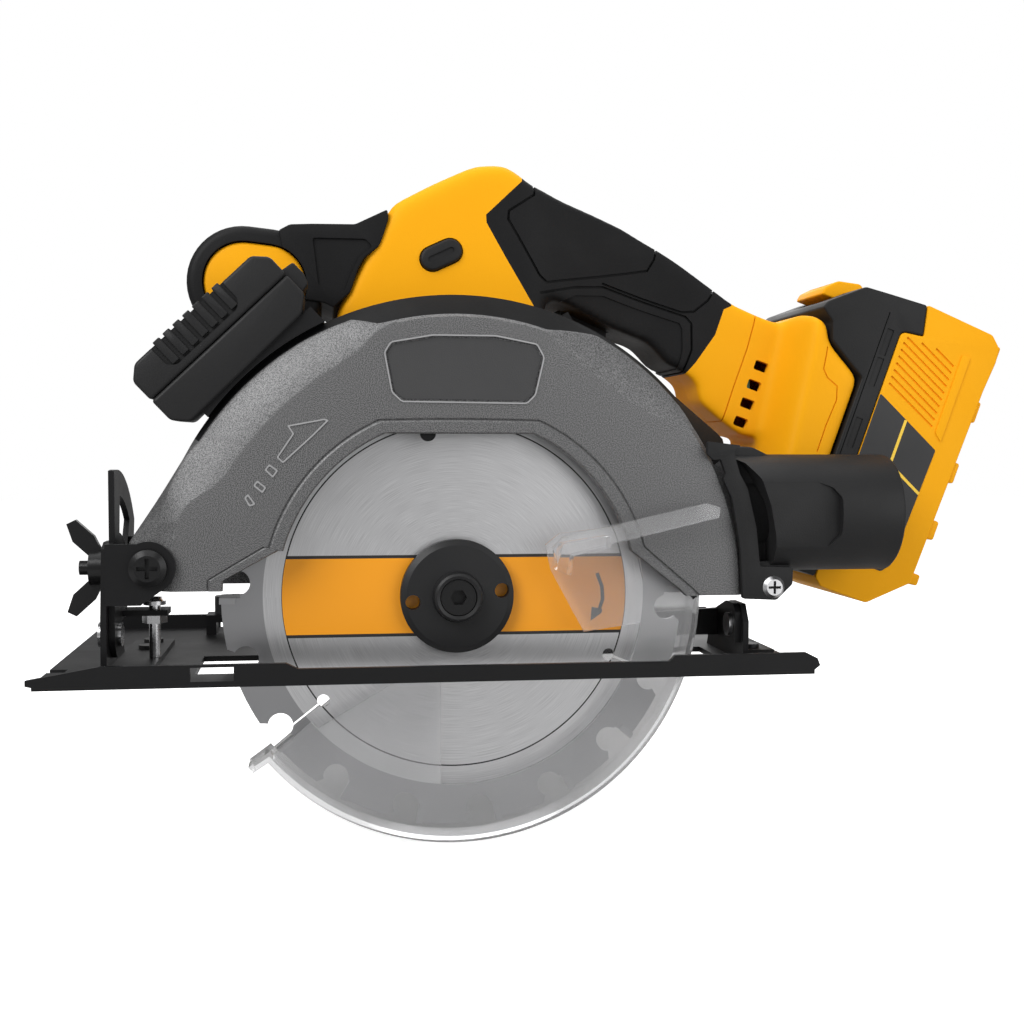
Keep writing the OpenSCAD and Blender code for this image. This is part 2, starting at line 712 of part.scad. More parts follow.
module housing_screws() {
    color("#3a3a3c") at_arbor() for (p = screw_places)
        translate([p.x, handle_y + p.z + 0.05, p.y]) rotate([-90, 0, 0]) pan_screw(3, 2, 1.7, wall + 3);
}
module grip_outline() {
    polygon([[14, 139], [20, 145], [26, 150.5], [31, 149], [47, 144], [71, 135], [86, 125.5], [100, 117],
        [111.5, 108], [102, 93], [97, 82], [92, 81.5], [85, 84.5], [78, 92], [62, 97.5], [46, 104.5],
            [44.3, 105],
        [44.3, 122], [30, 130]]);
}
module grip_skin(y0, y1) {
    color("#17171a") at_arbor() difference() {
        slab(y0, y1) grip_outline();
        slab(handle_y - body_half - 1, handle_y + body_half + 1) offset(delta = 0.02) front_outline();
    }
}
module grip_right() {
    grip_skin(handle_y - grip_half, handle_y - grip_half + grip_skin_t);
}
module grip_left() {
    difference() {
        grip_skin(handle_y + grip_half - grip_skin_t, handle_y + grip_half);
        at_arbor() for (i = [2, 3]) translate([screw_places[i].x, 0, screw_places[i].y]) rod_y(3.4, 60, 90);
    }
}
module trigger() {
    color("#141416") at_arbor() slab(handle_y - 7, handle_y + 7)
        polygon([[46, 112], [46, 95], [48.5, 87.5], [53, 89.5], [60, 87.5], [64, 92], [64, 112]]);
}
module trigger_switch() {
    color("#2b2b2d") at_arbor() block([46, handle_y - 8, 118.5], [72, handle_y + 8, 127]);
}
module lock_off_button() {
    color("#141416") at_arbor() translate([lock_off_x, 0, lock_off_z]) rotate([0, -lock_off_lean, 0]) {
        block([-8, handle_y - body_half - 1.6, -4.3], [8, handle_y - body_half + 8, 4.3]);
    }
}
module control_board() {
    color("#2e6b3a") at_arbor() block([119, handle_y - 14, 72], [120.6, handle_y + 14, 92]);
}
module terminal_block() {
    color("#202022") at_arbor() at_pack() {
        block([pack_v0 - 9, handle_y - 14, 71], [pack_v0 - 0.5, handle_y + 14, 105]);
        for (dy = [-9, 0, 9]) block([pack_v0 - 0.6, handle_y + dy - 0.5, 76],
            [pack_v0 + 5, handle_y + dy + 0.5, 96]);
    }
}
module battery_rails() {
    color("#1b1b1d") at_arbor() at_pack() for (side = [-1, 1]) {
        y_web = handle_y + side * 24;
        block([pack_v0 + 0.02, y_web - 1, 52], [pack_v0 + 4.5, y_web + 1, 120]);
        block([pack_v0 + 2.5, y_web + side * 2.5 - 1.5, 52],
            [pack_v0 + 4.5, y_web + side * 2.5 + 1.5, 120]);
    }
}

// ---- battery, which slides up its rails ----
module battery_tray() {
    gap = 0.35;
    color("#18181a") at_arbor() at_pack() difference() {
        union() {
            block([pack_v0 + 0.3, handle_y - pack_half, pack_u0 + 3],
                [tray_v1, handle_y + pack_half, pack_u1 - 1]);
            slab(handle_y - pack_half, handle_y + pack_half) polygon([[pack_v0 + 0.3, 130.4],
                [108.8, 136.8],
                [104.4, 145.9], [98.2, 147.2], [97, 150], [111, 157.5], [114, pack_u1 - 1],
                    [pack_v0 + 1, pack_u1 - 1]]);
        }
        for (side = [-1, 1]) {
            y_web = handle_y + side * 24;
            block([pack_v0 - 1, y_web - 1 - gap, 0], [pack_v0 + 4.5 + gap, y_web + 1 + gap, 120.5]);
            block([pack_v0 + 2.5 - gap, y_web + side * 2.5 - 1.5 - gap, 0],
                [pack_v0 + 4.5 + gap, y_web + side * 2.5 + 1.5 + gap, 120.5]);
        }
        for (dy = [-9, 0, 9]) block([pack_v0 - 1, handle_y + dy - 1.2, 0],
            [pack_v0 + 5.6, handle_y + dy + 1.2, 97]);
        // pocket for the latch button
        block([102.6, handle_y - 15.4, 152], [119.4, handle_y + 15.4, 170]);
    }
}
module battery_cover() {
    color("#f7971b") at_arbor() at_pack() difference() {
        slab(handle_y - pack_half, handle_y + pack_half) polygon([[tray_v1, pack_u0 + 3], [134, pack_u0],
            [157, pack_u0], [171, 60], [173.7, 120], [pack_v1 + 0.8, 147], [pack_v1, 155.5],
                [165.5, pack_u1 - 0.5],
            [tray_v1, pack_u1]]);
        slab(handle_y - pack_half + wall, handle_y + pack_half - wall)
            polygon([[tray_v1 - 1, pack_u0 + 5.5],
            [156, pack_u0 + 2.6], [168.5, 61], [171, 120], [171.4, 150], [164, pack_u1 - 3.2],
                [tray_v1 - 1, pack_u1 - 3]]);
    }
}
module battery_cells() {
    color("#3b6ea5") at_arbor() at_pack() for (row = [0, 1]) for (i = [0 : 4])
        translate([140.3 + row * 18.5, 0, 66 + i * 19.2]) rod_y(9.1, handle_y - 32.5, handle_y + 32.5);
}
module battery_board() {
    color("#2e6b3a") at_arbor() at_pack() block([129.7, handle_y - 28, 62], [130.9, handle_y + 28, 140]);
}
module battery_latch() {
    color("#ef8f18") at_arbor() at_pack() slab(handle_y - 15, handle_y + 15)
        polygon([[103, 157], [103, 160], [107, 163.8], [117, 166], [119, 164], [119, 157]]);
}

// ---- front handle and light module ----
module oval(r, stretch) {
    rotate(-6) {
        circle(r = r);
        translate([stretch, 0]) circle(r = r);
        translate([0, -r]) square([stretch, 2 * r]);
    }
}
module at_front_handle() { translate([-74.5, 111.5]) children(); }
module front_handle_sleeve() {
    color("#17171a") at_arbor() difference() {
        union() {
            slab(20, 100) at_front_handle() oval(20.2, 8.5);
            slab(24, 64) polygon([[-60, 131], [-48, 131.5], [-38, 131.8], [-21.5, 141], [-27, 131],
                [-32.2, 121],
                [-38.2, 104], [-44, 103.5], [-54, 105]]);
        }
        slab(19, 101) at_front_handle() oval(14.5, 8);
        slab(19, 101) front_outline();
    }
}
module front_handle_core() {
    color("#f7971b") at_arbor() slab(19.2, 99) at_front_handle() oval(14.4, 8);
}
module box_outline() {
    polygon([[-25, -12.5], [27, -12.5], [31.5, -9], [31.5, 9], [27, 13], [-25, 13], [-29, 9], [-29, -8]]);
}
module light_box(upper) {
    at_box() difference() {
        slab(-11, 11) intersection() {
            box_outline();
            translate([-40, upper ? 0.55 : -20]) square([80, upper ? 20 : 20.45]);
        }
        slab(-8.5, 8.5) intersection() {
            offset(delta = -2.5) box_outline();
            translate([-40, upper ? -1 : -20]) square([80, upper ? 30 : 22]);
        }
        // opening for the lens
        translate([-40, 0, -5]) rotate([0, 90, 0]) cylinder(r = 5, h = 20);
    }
}
module light_box_upper() {
    color("#161618") at_arbor() {
        light_box(true);
        // grip ribs on the near face
        at_box() for (i = [0 : 6]) block([-17 + 4.4 * i, -12, 4], [-14.6 + 4.4 * i, -11, 12.9]);
    }
}
module light_box_lower() {
    color("#161618") at_arbor() light_box(false);
}
module light_box_bracket() {
    color("#1b1b1d") at_arbor() difference() {
        at_box() block([-21, -9, -25], [30, 9, -12.6]);
        rod_y(guard_r + 0.05, -20, 20, $fn = 720);
    }
}
module light_lens() {
    color([0.9, 0.4, 0.3, 0.7]) at_arbor() at_box() translate([-29.5, 0, -5]) rotate([0, 90, 0])
        cylinder(r = 4.95, h = 2.5);
}

base_plate();
front_base_bracket();
rear_base_bracket();
bevel_pivot_rivets();
base_rivets();
bevel_stud();
bevel_wing_nut();
front_swivel_bracket();
rear_swivel_bracket();
depth_arm();
bevel_stop_screw();
guide_clamp();
guide_screw();
upper_guard();
depth_pivot_screw();
depth_bolt();
depth_lever();
lower_guard();
guard_return_spring();
dust_port();
dust_port_screw();
saw_blade();
carbide_tips();
inner_flange();
outer_flange();
arbor_bolt();
spindle();
spindle_gear();
spindle_bearings();
gear_housing();
spindle_lock_button();
motor_shaft();
motor_rotor();
motor_bearings();
cooling_fan();
motor_stator();
motor_barrel();
motor_end_cap();
main_housing_right();
main_housing_left();
housing_screws();
grip_right();
grip_left();
trigger();
trigger_switch();
lock_off_button();
control_board();
terminal_block();
battery_rails();
battery_tray();
battery_cover();
battery_cells();
battery_board();
battery_latch();
front_handle_sleeve();
front_handle_core();
light_box_upper();
light_box_lower();
light_box_bracket();
light_lens();
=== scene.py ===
import json
import math
import bpy
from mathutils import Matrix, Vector


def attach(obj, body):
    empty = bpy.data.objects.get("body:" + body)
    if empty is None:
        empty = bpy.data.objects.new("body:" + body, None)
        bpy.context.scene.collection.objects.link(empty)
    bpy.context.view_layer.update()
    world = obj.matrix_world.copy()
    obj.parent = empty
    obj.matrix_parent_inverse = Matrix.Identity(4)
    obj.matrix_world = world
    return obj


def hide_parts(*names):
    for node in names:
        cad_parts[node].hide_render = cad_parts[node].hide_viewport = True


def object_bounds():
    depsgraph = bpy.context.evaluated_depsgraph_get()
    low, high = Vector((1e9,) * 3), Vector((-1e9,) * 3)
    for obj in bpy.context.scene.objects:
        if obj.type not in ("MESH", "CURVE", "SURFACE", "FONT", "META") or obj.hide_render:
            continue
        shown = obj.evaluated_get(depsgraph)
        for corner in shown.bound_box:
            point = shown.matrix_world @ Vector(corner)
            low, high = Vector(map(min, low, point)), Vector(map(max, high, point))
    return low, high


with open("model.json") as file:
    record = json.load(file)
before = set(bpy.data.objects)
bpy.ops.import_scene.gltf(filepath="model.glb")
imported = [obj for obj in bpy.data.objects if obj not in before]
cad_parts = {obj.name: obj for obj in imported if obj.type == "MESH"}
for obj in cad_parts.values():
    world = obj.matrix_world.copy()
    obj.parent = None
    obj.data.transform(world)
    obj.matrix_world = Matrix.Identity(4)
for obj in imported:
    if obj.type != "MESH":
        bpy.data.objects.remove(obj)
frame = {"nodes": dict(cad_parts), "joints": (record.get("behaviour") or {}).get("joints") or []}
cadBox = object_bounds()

# All places below are millimetres from the arbor: x to the rear, y away from the blade side, z up.
arbor = Vector(next(j["pos_m"] for j in frame["joints"] if j["name"] == "blade_spin"))
print("frame loaded,", len(frame["nodes"]), "nodes")


def spot(x, y, z):
    return arbor + Vector((x, y, z)) / 1000


def clearSelection():
    if bpy.context.mode != "OBJECT":
        bpy.ops.object.mode_set(mode="OBJECT")
    bpy.ops.object.select_all(action="DESELECT")


def pick(piece):
    clearSelection()
    piece.select_set(True)
    bpy.context.view_layer.objects.active = piece


def editAll(piece):
    pick(piece)
    bpy.ops.object.mode_set(mode="EDIT")
    bpy.ops.mesh.select_all(action="SELECT")


def applyModifier(piece, kind, **settings):
    pick(piece)
    modifier = piece.modifiers.new(kind.title(), kind)
    for key, value in settings.items():
        setattr(modifier, key, value)
    bpy.ops.object.modifier_apply(modifier=modifier.name)


def fixNormals(piece):
    editAll(piece)
    bpy.ops.mesh.remove_doubles(threshold=0.00001)
    bpy.ops.mesh.normals_make_consistent(inside=False)
    clearSelection()


def freeze(piece):  # the place goes into the mesh, and the object back to the origin
    pick(piece)
    bpy.ops.object.transform_apply(location=True, rotation=True, scale=True)


def softEdges(piece, width, steps=3, angle=30):
    applyModifier(piece, "BEVEL", width=width / 1000, segments=steps, limit_method="ANGLE",
                  angle_limit=math.radians(angle), use_clamp_overlap=True)


def smoothShade(piece, angle=35):
    pick(piece)
    bpy.ops.object.shade_smooth_by_angle(angle=math.radians(angle))


def prism(name, outline, near, far, corner=0, edge=0, steps=3):
    clearSelection()
    bpy.ops.mesh.primitive_circle_add(vertices=len(outline), fill_type="NGON")
    piece = bpy.context.active_object
    piece.name = name
    for vert, (x, z) in zip(piece.data.vertices, outline):
        vert.co = spot(x, near, z)
    editAll(piece)
    if corner:
        bpy.ops.mesh.bevel(offset=corner / 1000, segments=5, affect="VERTICES", clamp_overlap=True)
        bpy.ops.mesh.select_all(action="SELECT")
    bpy.ops.mesh.extrude_region_move(TRANSFORM_OT_translate={"value": (0, (far - near) / 1000, 0)})
    clearSelection()
    fixNormals(piece)
    if edge:
        softEdges(piece, edge, steps)
    return piece


def rod(name, radius, x, z, near, far, sides=64):  # along Y
    clearSelection()
    bpy.ops.mesh.primitive_cylinder_add(vertices=sides, radius=radius / 1000, depth=(far - near) / 1000,
                                        location=spot(x, (near + far) / 2, z), rotation=(math.pi / 2, 0, 0))
    piece = bpy.context.active_object
    piece.name = name
    freeze(piece)
    return piece


def copyOf(piece, name):
    twin = piece.copy()
    twin.data = piece.data.copy()
    twin.name = name
    bpy.context.scene.collection.objects.link(twin)
    return twin


def cut(piece, tool, operation="DIFFERENCE", keep=False):
    pick(piece)
    modifier = piece.modifiers.new("Cut", "BOOLEAN")
    modifier.operation = operation
    modifier.solver = "EXACT"
    modifier.object = tool
    bpy.ops.object.modifier_apply(modifier=modifier.name)
    if not keep:
        bpy.data.objects.remove(tool)
    return piece


def joined(pieces, name):
    clearSelection()
    for piece in pieces:
        piece.select_set(True)
    bpy.context.view_layer.objects.active = pieces[0]
    bpy.ops.object.join()
    pieces[0].name = name
    return pieces[0]


def ease(share):
    share = min(1, max(0, share))
    return share * share * (3 - 2 * share)


def along(points, angle):  # value at an angle, from (angle, value) pairs in rising order
    for (a0, v0), (a1, v1) in zip(points, points[1:]):
        if angle <= a1:
            return v0 + (v1 - v0) * max(0, angle - a0) / (a1 - a0)
    return points[-1][1]


def reach(outline, angle):  # how far an outline goes from the arbor at an angle in degrees
    dx, dz = math.cos(math.radians(angle)), math.sin(math.radians(angle))
    best = 0
    for (x0, z0), (x1, z1) in zip(outline, outline[1:] + outline[:1]):
        turn = dx * (z1 - z0) - dz * (x1 - x0)
        if abs(turn) < 1e-9:
            continue
        out = (x0 * (z1 - z0) - z0 * (x1 - x0)) / turn
        share = (x0 * dz - z0 * dx) / turn
        if -1e-6 <= share <= 1 + 1e-6 and out > best:
            best = out
    return best


def inset(outline, distance):  # the loop moved in by that distance, for a clockwise loop
    moved = []
    for index, (x, z) in enumerate(outline):
        here = Vector((x, z))
        one = (here - Vector(outline[index - 1])).normalized()
        two = (Vector(outline[(index + 1) % len(outline)]) - here).normalized()
        inward = (Vector((one.y, -one.x)) + Vector((two.y, -two.x))).normalized()
        moved.append(tuple(here + inward * distance / max(0.5, inward.dot(Vector((one.y, -one.x))))))
    return moved


def hoop(name, outline, width, near, far, corner):  # a closed line that stands up from near to far
    piece = prism(name, outline, near, far, corner=corner)
    return cut(piece, prism("middle", inset(outline, width), near - 1, far + 1, corner=corner * 0.7))


def arc(radius, a0, a1, count, x=0, z=0):
    angles = [math.radians(a0 + (a1 - a0) * i / count) for i in range(count + 1)]
    return [(x + radius * math.cos(a), z + radius * math.sin(a)) for a in angles]


def leaned(points, degrees, x=0, z=0):  # turns points towards +x at the top, then moves them
    c, s = math.cos(math.radians(degrees)), math.sin(math.radians(degrees))
    return [(x + v * c + u * s, z - v * s + u * c) for v, u in points]


def sunk(piece, depth, voxel):  # the same surface, that far below
    skin = copyOf(piece, "skin")
    editAll(skin)
    bpy.ops.transform.shrink_fatten(value=-depth / 1000)
    clearSelection()
    applyModifier(skin, "REMESH", mode="VOXEL", voxel_size=voxel / 1000)
    applyModifier(skin, "SMOOTH", factor=0.5, iterations=3)
    return skin


def engrave(piece, tool, skin):  # cuts no deeper than the sunk skin
    cut(tool, skin, keep=True)
    return cut(piece, tool)


def newGroup(name, inputs, outputs):
    group = bpy.data.node_groups.new(name, "ShaderNodeTree")
    for label, kind, value in inputs:
        socket = group.interface.new_socket(label, in_out="INPUT", socket_type=kind)
        socket.default_value = value
    for label, kind in outputs:
        group.interface.new_socket(label, in_out="OUTPUT", socket_type=kind)
    return group, group.nodes.new("NodeGroupInput"), group.nodes.new("NodeGroupOutput")


def moulded():  # fine texture, and blotches of tone and roughness
    group, start, end = newGroup("mouldedSurface", [
        ("Tone A", "NodeSocketColor", (1, 1, 1, 1)), ("Tone B", "NodeSocketColor", (0, 0, 0, 1)),
        ("Grain Scale", "NodeSocketFloat", 2500), ("Rough Low", "NodeSocketFloat", 0.35),
        ("Rough High", "NodeSocketFloat", 0.5)],
        [("Color", "NodeSocketColor"), ("Roughness", "NodeSocketFloat"), ("Height", "NodeSocketFloat")])
    nodes, links = group.nodes, group.links
    place = nodes.new("ShaderNodeTexCoord")
    grain = nodes.new("ShaderNodeTexNoise")
    grain.inputs["Detail"].default_value = 2
    blotch = nodes.new("ShaderNodeTexNoise")
    blotch.inputs["Scale"].default_value = 28
    blotch.inputs["Detail"].default_value = 4
    mix = nodes.new("ShaderNodeMix")
    mix.data_type = "RGBA"
    rough = nodes.new("ShaderNodeMapRange")
    rough.inputs["From Min"].default_value = 0.35
    rough.inputs["From Max"].default_value = 0.65
    links.new(place.outputs["Object"], grain.inputs["Vector"])
    links.new(place.outputs["Object"], blotch.inputs["Vector"])
    links.new(start.outputs["Grain Scale"], grain.inputs["Scale"])
    links.new(blotch.outputs["Fac"], mix.inputs["Factor"])
    links.new(start.outputs["Tone A"], mix.inputs[6])
    links.new(start.outputs["Tone B"], mix.inputs[7])
    links.new(blotch.outputs["Fac"], rough.inputs["Value"])
    links.new(start.outputs["Rough Low"], rough.inputs["To Min"])
    links.new(start.outputs["Rough High"], rough.inputs["To Max"])
    links.new(mix.outputs[2], end.inputs["Color"])
    links.new(rough.outputs["Result"], end.inputs["Roughness"])
    links.new(grain.outputs["Fac"], end.inputs["Height"])
    return group


mouldedGroup = moulded()


def newMaterial(name, **sockets):
    material = bpy.data.materials.new(name)
    material.use_nodes = True
    shader = material.node_tree.nodes["Principled BSDF"]
    for label, value in sockets.items():
        shader.inputs[label.replace("_", " ")].default_value = value
    return material, material.node_tree.nodes, material.node_tree.links, shader


def grained(name, toneA, toneB, grainScale, roughLow, roughHigh, bump, **sockets):
    material, nodes, links, shader = newMaterial(name, **sockets)
    surface = nodes.new("ShaderNodeGroup")
    surface.node_tree = mouldedGroup
    surface.inputs["Tone A"].default_value = (*toneA, 1)
    surface.inputs["Tone B"].default_value = (*toneB, 1)
    surface.inputs["Grain Scale"].default_value = grainScale
    surface.inputs["Rough Low"].default_value = roughLow
    surface.inputs["Rough High"].default_value = roughHigh
    bumpNode = nodes.new("ShaderNodeBump")
    bumpNode.inputs["Strength"].default_value = bump
    bumpNode.inputs["Distance"].default_value = 0.0002
    links.new(surface.outputs["Color"], shader.inputs["Base Color"])
    links.new(surface.outputs["Roughness"], shader.inputs["Roughness"])
    links.new(surface.outputs["Height"], bumpNode.inputs["Height"])
    links.new(bumpNode.outputs["Normal"], shader.inputs["Normal"])
    return material


orangePlastic = grained("orangePlastic", (0.98, 0.445, 0.006), (0.93, 0.4, 0.004), 1800, 0.48, 0.62, 0.1,
                        Specular_IOR_Level=0.12)
blackPlastic = grained("blackPlastic", (0.022, 0.022, 0.0225), (0.013, 0.013, 0.0135), 1800, 0.42, 0.56,
                       0.25,
                       Specular_IOR_Level=0.2)
gripRubber = grained("gripRubber", (0.0125, 0.0125, 0.013), (0.007, 0.007, 0.0075), 2600, 0.52, 0.68, 0.3,
                     Specular_IOR_Level=0.16)
blackSteel = grained("blackSteel", (0.012, 0.012, 0.0125), (0.006, 0.006, 0.0065), 1200, 0.34, 0.5, 0.15,
                     Specular_IOR_Level=0.22)
blackHardware = grained("blackHardware", (0.02, 0.02, 0.0205), (0.012, 0.012, 0.0125), 1500, 0.28, 0.42,
                        0.1,
                        Metallic=0.5)
platedSteel = grained("platedSteel", (0.8, 0.8, 0.81), (0.6, 0.6, 0.61), 1500, 0.2, 0.35, 0.05, Metallic=1)
shaftSteel = grained("shaftSteel", (0.55, 0.55, 0.56), (0.45, 0.45, 0.46), 1500, 0.25, 0.4, 0.05,
                     Metallic=1)
carbide = grained("carbide", (0.5, 0.5, 0.51), (0.36, 0.36, 0.37), 3000, 0.3, 0.45, 0.1, Metallic=1)
gearAlloy = grained("gearAlloy", (0.3, 0.3, 0.31), (0.22, 0.22, 0.23), 900, 0.45, 0.6, 0.3, Metallic=0.8)
windings = grained("windings", (0.5, 0.2, 0.06), (0.35, 0.13, 0.04), 700, 0.3, 0.5, 0.4, Metallic=0.8)
boardGreen = grained("boardGreen", (0.03, 0.2, 0.06), (0.02, 0.14, 0.04), 900, 0.3, 0.5, 0.1)
cellWrap = grained("cellWrap", (0.05, 0.16, 0.4), (0.04, 0.12, 0.32), 900, 0.25, 0.35, 0.05)
# near-black: painted shade on the guard's top band, plain dark paint on the stop pin
darkPaintAndRimShade = grained("darkPaintAndRimShade", (0.01, 0.01, 0.0104), (0.006, 0.006, 0.0063), 2400, 0.55, 0.7, 0.3,
                   Specular_IOR_Level=0.14)
badgePaint = grained("badgePaint", (0.062, 0.062, 0.063), (0.042, 0.042, 0.043), 2400, 0.45, 0.6, 0.25,
                     Specular_IOR_Level=0.3)
# light grey for the raised badge and arrow lines: a painted highlight on their edges
edgeHighlightPaint = grained("edgeHighlightPaint", (0.42, 0.42, 0.425), (0.34, 0.34, 0.345), 2400, 0.35, 0.5, 0.1,
                    Metallic=0.3)
flangeBlack = grained("flangeBlack", (0.02, 0.02, 0.021), (0.012, 0.012, 0.0125), 1500, 0.36, 0.5, 0.1,
                      Specular_IOR_Level=0.3)
labelFilm = grained("labelFilm", (0.026, 0.026, 0.027), (0.02, 0.02, 0.021), 600, 0.3, 0.4, 0.05,
                    Specular_IOR_Level=0.3)
stripeYellow = grained("stripeYellow", (0.95, 0.62, 0.03), (0.9, 0.57, 0.03), 900, 0.3, 0.4, 0.05)
lensSmoke = grained("lensSmoke", (0.05, 0.012, 0.01), (0.03, 0.008, 0.007), 600, 0.08, 0.15, 0.02)


def guardPaintMaterial():  # metallic paint with light and dark flecks
    material, nodes, links, shader = newMaterial("guardPaint", Metallic=0.5)
    place = nodes.new("ShaderNodeTexCoord")
    fleck = nodes.new("ShaderNodeTexNoise")
    fleck.inputs["Scale"].default_value = 3000
    fleck.inputs["Detail"].default_value = 3
    ramp = nodes.new("ShaderNodeValToRGB")
    ramp.color_ramp.elements[0].position = 0.37
    ramp.color_ramp.elements[0].color = (0.06, 0.06, 0.061, 1)
    ramp.color_ramp.elements[1].position = 0.64
    ramp.color_ramp.elements[1].color = (0.23, 0.23, 0.232, 1)
    bumpNode = nodes.new("ShaderNodeBump")
    bumpNode.inputs["Strength"].default_value = 0.2
    bumpNode.inputs["Distance"].default_value = 0.0002
    rough = nodes.new("ShaderNodeMapRange")
    rough.inputs["To Min"].default_value = 0.38
    rough.inputs["To Max"].default_value = 0.6
    links.new(place.outputs["Object"], fleck.inputs["Vector"])
    links.new(fleck.outputs["Fac"], ramp.inputs["Fac"])
    links.new(fleck.outputs["Fac"], rough.inputs["Value"])
    links.new(fleck.outputs["Fac"], bumpNode.inputs["Height"])
    links.new(ramp.outputs["Color"], shader.inputs["Base Color"])
    links.new(rough.outputs["Result"], shader.inputs["Roughness"])
    links.new(bumpNode.outputs["Normal"], shader.inputs["Normal"])
    return material


bladePrint = {"brightRadius": 67.6, "lineRadius": 61, "lineWidth": 0.5, "bandHalf": 13.3,
              "borderWidth": 1.1}


def bladeMaterial():  # ground steel with a printed ring and an orange band
    material, nodes, links, shader = newMaterial("bladeSteel", Metallic=1)

    def maths(operation, a, b=None, c=None):
        node = nodes.new("ShaderNodeMath")
        node.operation = operation
        for socket, value in zip(node.inputs, (a, b, c)):
            if isinstance(value, (int, float)):
                socket.default_value = value
            elif value is not None:
                links.new(value, socket)
        return node.outputs[0]

    def mixed(factor, colorA, colorB):
        node = nodes.new("ShaderNodeMix")
        node.data_type = "RGBA"
        links.new(factor, node.inputs["Factor"])
        for socket, value in ((node.inputs[6], colorA), (node.inputs[7], colorB)):
            if isinstance(value, tuple):
                socket.default_value = (*value, 1)
            else:
                links.new(value, socket)
        return node.outputs[2]

    place = nodes.new("ShaderNodeTexCoord")
    centre = nodes.new("ShaderNodeMapping")
    centre.inputs["Location"].default_value = -arbor
    split = nodes.new("ShaderNodeSeparateXYZ")
    links.new(place.outputs["Object"], centre.inputs["Vector"])
    links.new(centre.outputs["Vector"], split.inputs[0])
    x, y, z = (maths("MULTIPLY", split.outputs[i], 1000) for i in range(3))
    radius = maths("SQRT", maths("ADD", maths("MULTIPLY", x, x), maths("MULTIPLY", z, z)))
    turn = maths("ARCTAN2", z, x)
    around = nodes.new("ShaderNodeCombineXYZ")  # streaks that run round the plate
    links.new(maths("MULTIPLY", radius, 6), around.inputs[0])
    links.new(maths("MULTIPLY", turn, 4), around.inputs[1])
    streak = nodes.new("ShaderNodeTexNoise")
    streak.inputs["Scale"].default_value = 1
    streak.inputs["Detail"].default_value = 5
    links.new(around.outputs[0], streak.inputs["Vector"])
    brushed = maths("MULTIPLY_ADD", streak.outputs["Fac"], 2.2, -0.6)
    wide = nodes.new("ShaderNodeCombineXYZ")
    links.new(maths("MULTIPLY", x, 0.03), wide.inputs[0])
    links.new(maths("MULTIPLY", z, 0.22), wide.inputs[1])
    cloud = nodes.new("ShaderNodeTexNoise")
    cloud.inputs["Scale"].default_value = 1
    links.new(wide.outputs[0], cloud.inputs["Vector"])
    steel = mixed(brushed, (0.5, 0.5, 0.51), (0.92, 0.92, 0.93))
    steel = mixed(cloud.outputs["Fac"], steel, (0.7, 0.7, 0.71))
    outer = maths("GREATER_THAN", radius, bladePrint["brightRadius"])
    steel = mixed(outer, steel, (0.4, 0.4, 0.41))
    inside = maths("LESS_THAN", radius, bladePrint["lineRadius"])
    height = maths("ABSOLUTE", z)
    band = maths("MULTIPLY", inside, maths("LESS_THAN", height, bladePrint["bandHalf"]))
    border = maths("MULTIPLY", inside, maths("LESS_THAN", height,
                                             bladePrint["bandHalf"] + bladePrint["borderWidth"]))
    line = maths("LESS_THAN", maths("ABSOLUTE", maths("SUBTRACT", radius, bladePrint["lineRadius"])),
                 bladePrint["lineWidth"] / 2)
    front = maths("LESS_THAN", y, 0)
    black = maths("MULTIPLY", maths("MAXIMUM", border, line), front)
    orange = maths("MULTIPLY", band, front)
    color = mixed(black, steel, (0.02, 0.02, 0.02))
    color = mixed(orange, color, (0.95, 0.36, 0.008))
    printed = maths("MAXIMUM", black, orange)
    links.new(color, shader.inputs["Base Color"])
    links.new(maths("SUBTRACT", 1, printed), shader.inputs["Metallic"])
    links.new(maths("ADD", maths("MULTIPLY", streak.outputs["Fac"], 0.2), 0.28), shader.inputs["Roughness"])
    bumpNode = nodes.new("ShaderNodeBump")
    bumpNode.inputs["Strength"].default_value = 0.12
    bumpNode.inputs["Distance"].default_value = 0.0001
    links.new(streak.outputs["Fac"], bumpNode.inputs["Height"])
    links.new(bumpNode.outputs["Normal"], shader.inputs["Normal"])
    return material


def clearMaterial():  # moulded polycarbonate, faintly hazy
    material, nodes, links, shader = newMaterial("clearPlastic", Transmission_Weight=0.88, IOR=1.35)
    place = nodes.new("ShaderNodeTexCoord")
    haze = nodes.new("ShaderNodeTexNoise")
    haze.inputs["Scale"].default_value = 60
    rough = nodes.new("ShaderNodeMapRange")
    rough.inputs["To Min"].default_value = 0.03
    rough.inputs["To Max"].default_value = 0.14
    tint = nodes.new("ShaderNodeMix")
    tint.data_type = "RGBA"
    tint.inputs[6].default_value = (0.84, 0.84, 0.845, 1)
    tint.inputs[7].default_value = (0.92, 0.92, 0.925, 1)
    links.new(place.outputs["Object"], haze.inputs["Vector"])
    links.new(haze.outputs["Fac"], rough.inputs["Value"])
    links.new(haze.outputs["Fac"], tint.inputs["Factor"])
    links.new(tint.outputs[2], shader.inputs["Base Color"])
    links.new(rough.outputs["Result"], shader.inputs["Roughness"])
    return material


guardPaint = guardPaintMaterial()
bladeSteel = bladeMaterial()
clearPlastic = clearMaterial()
print("materials made")

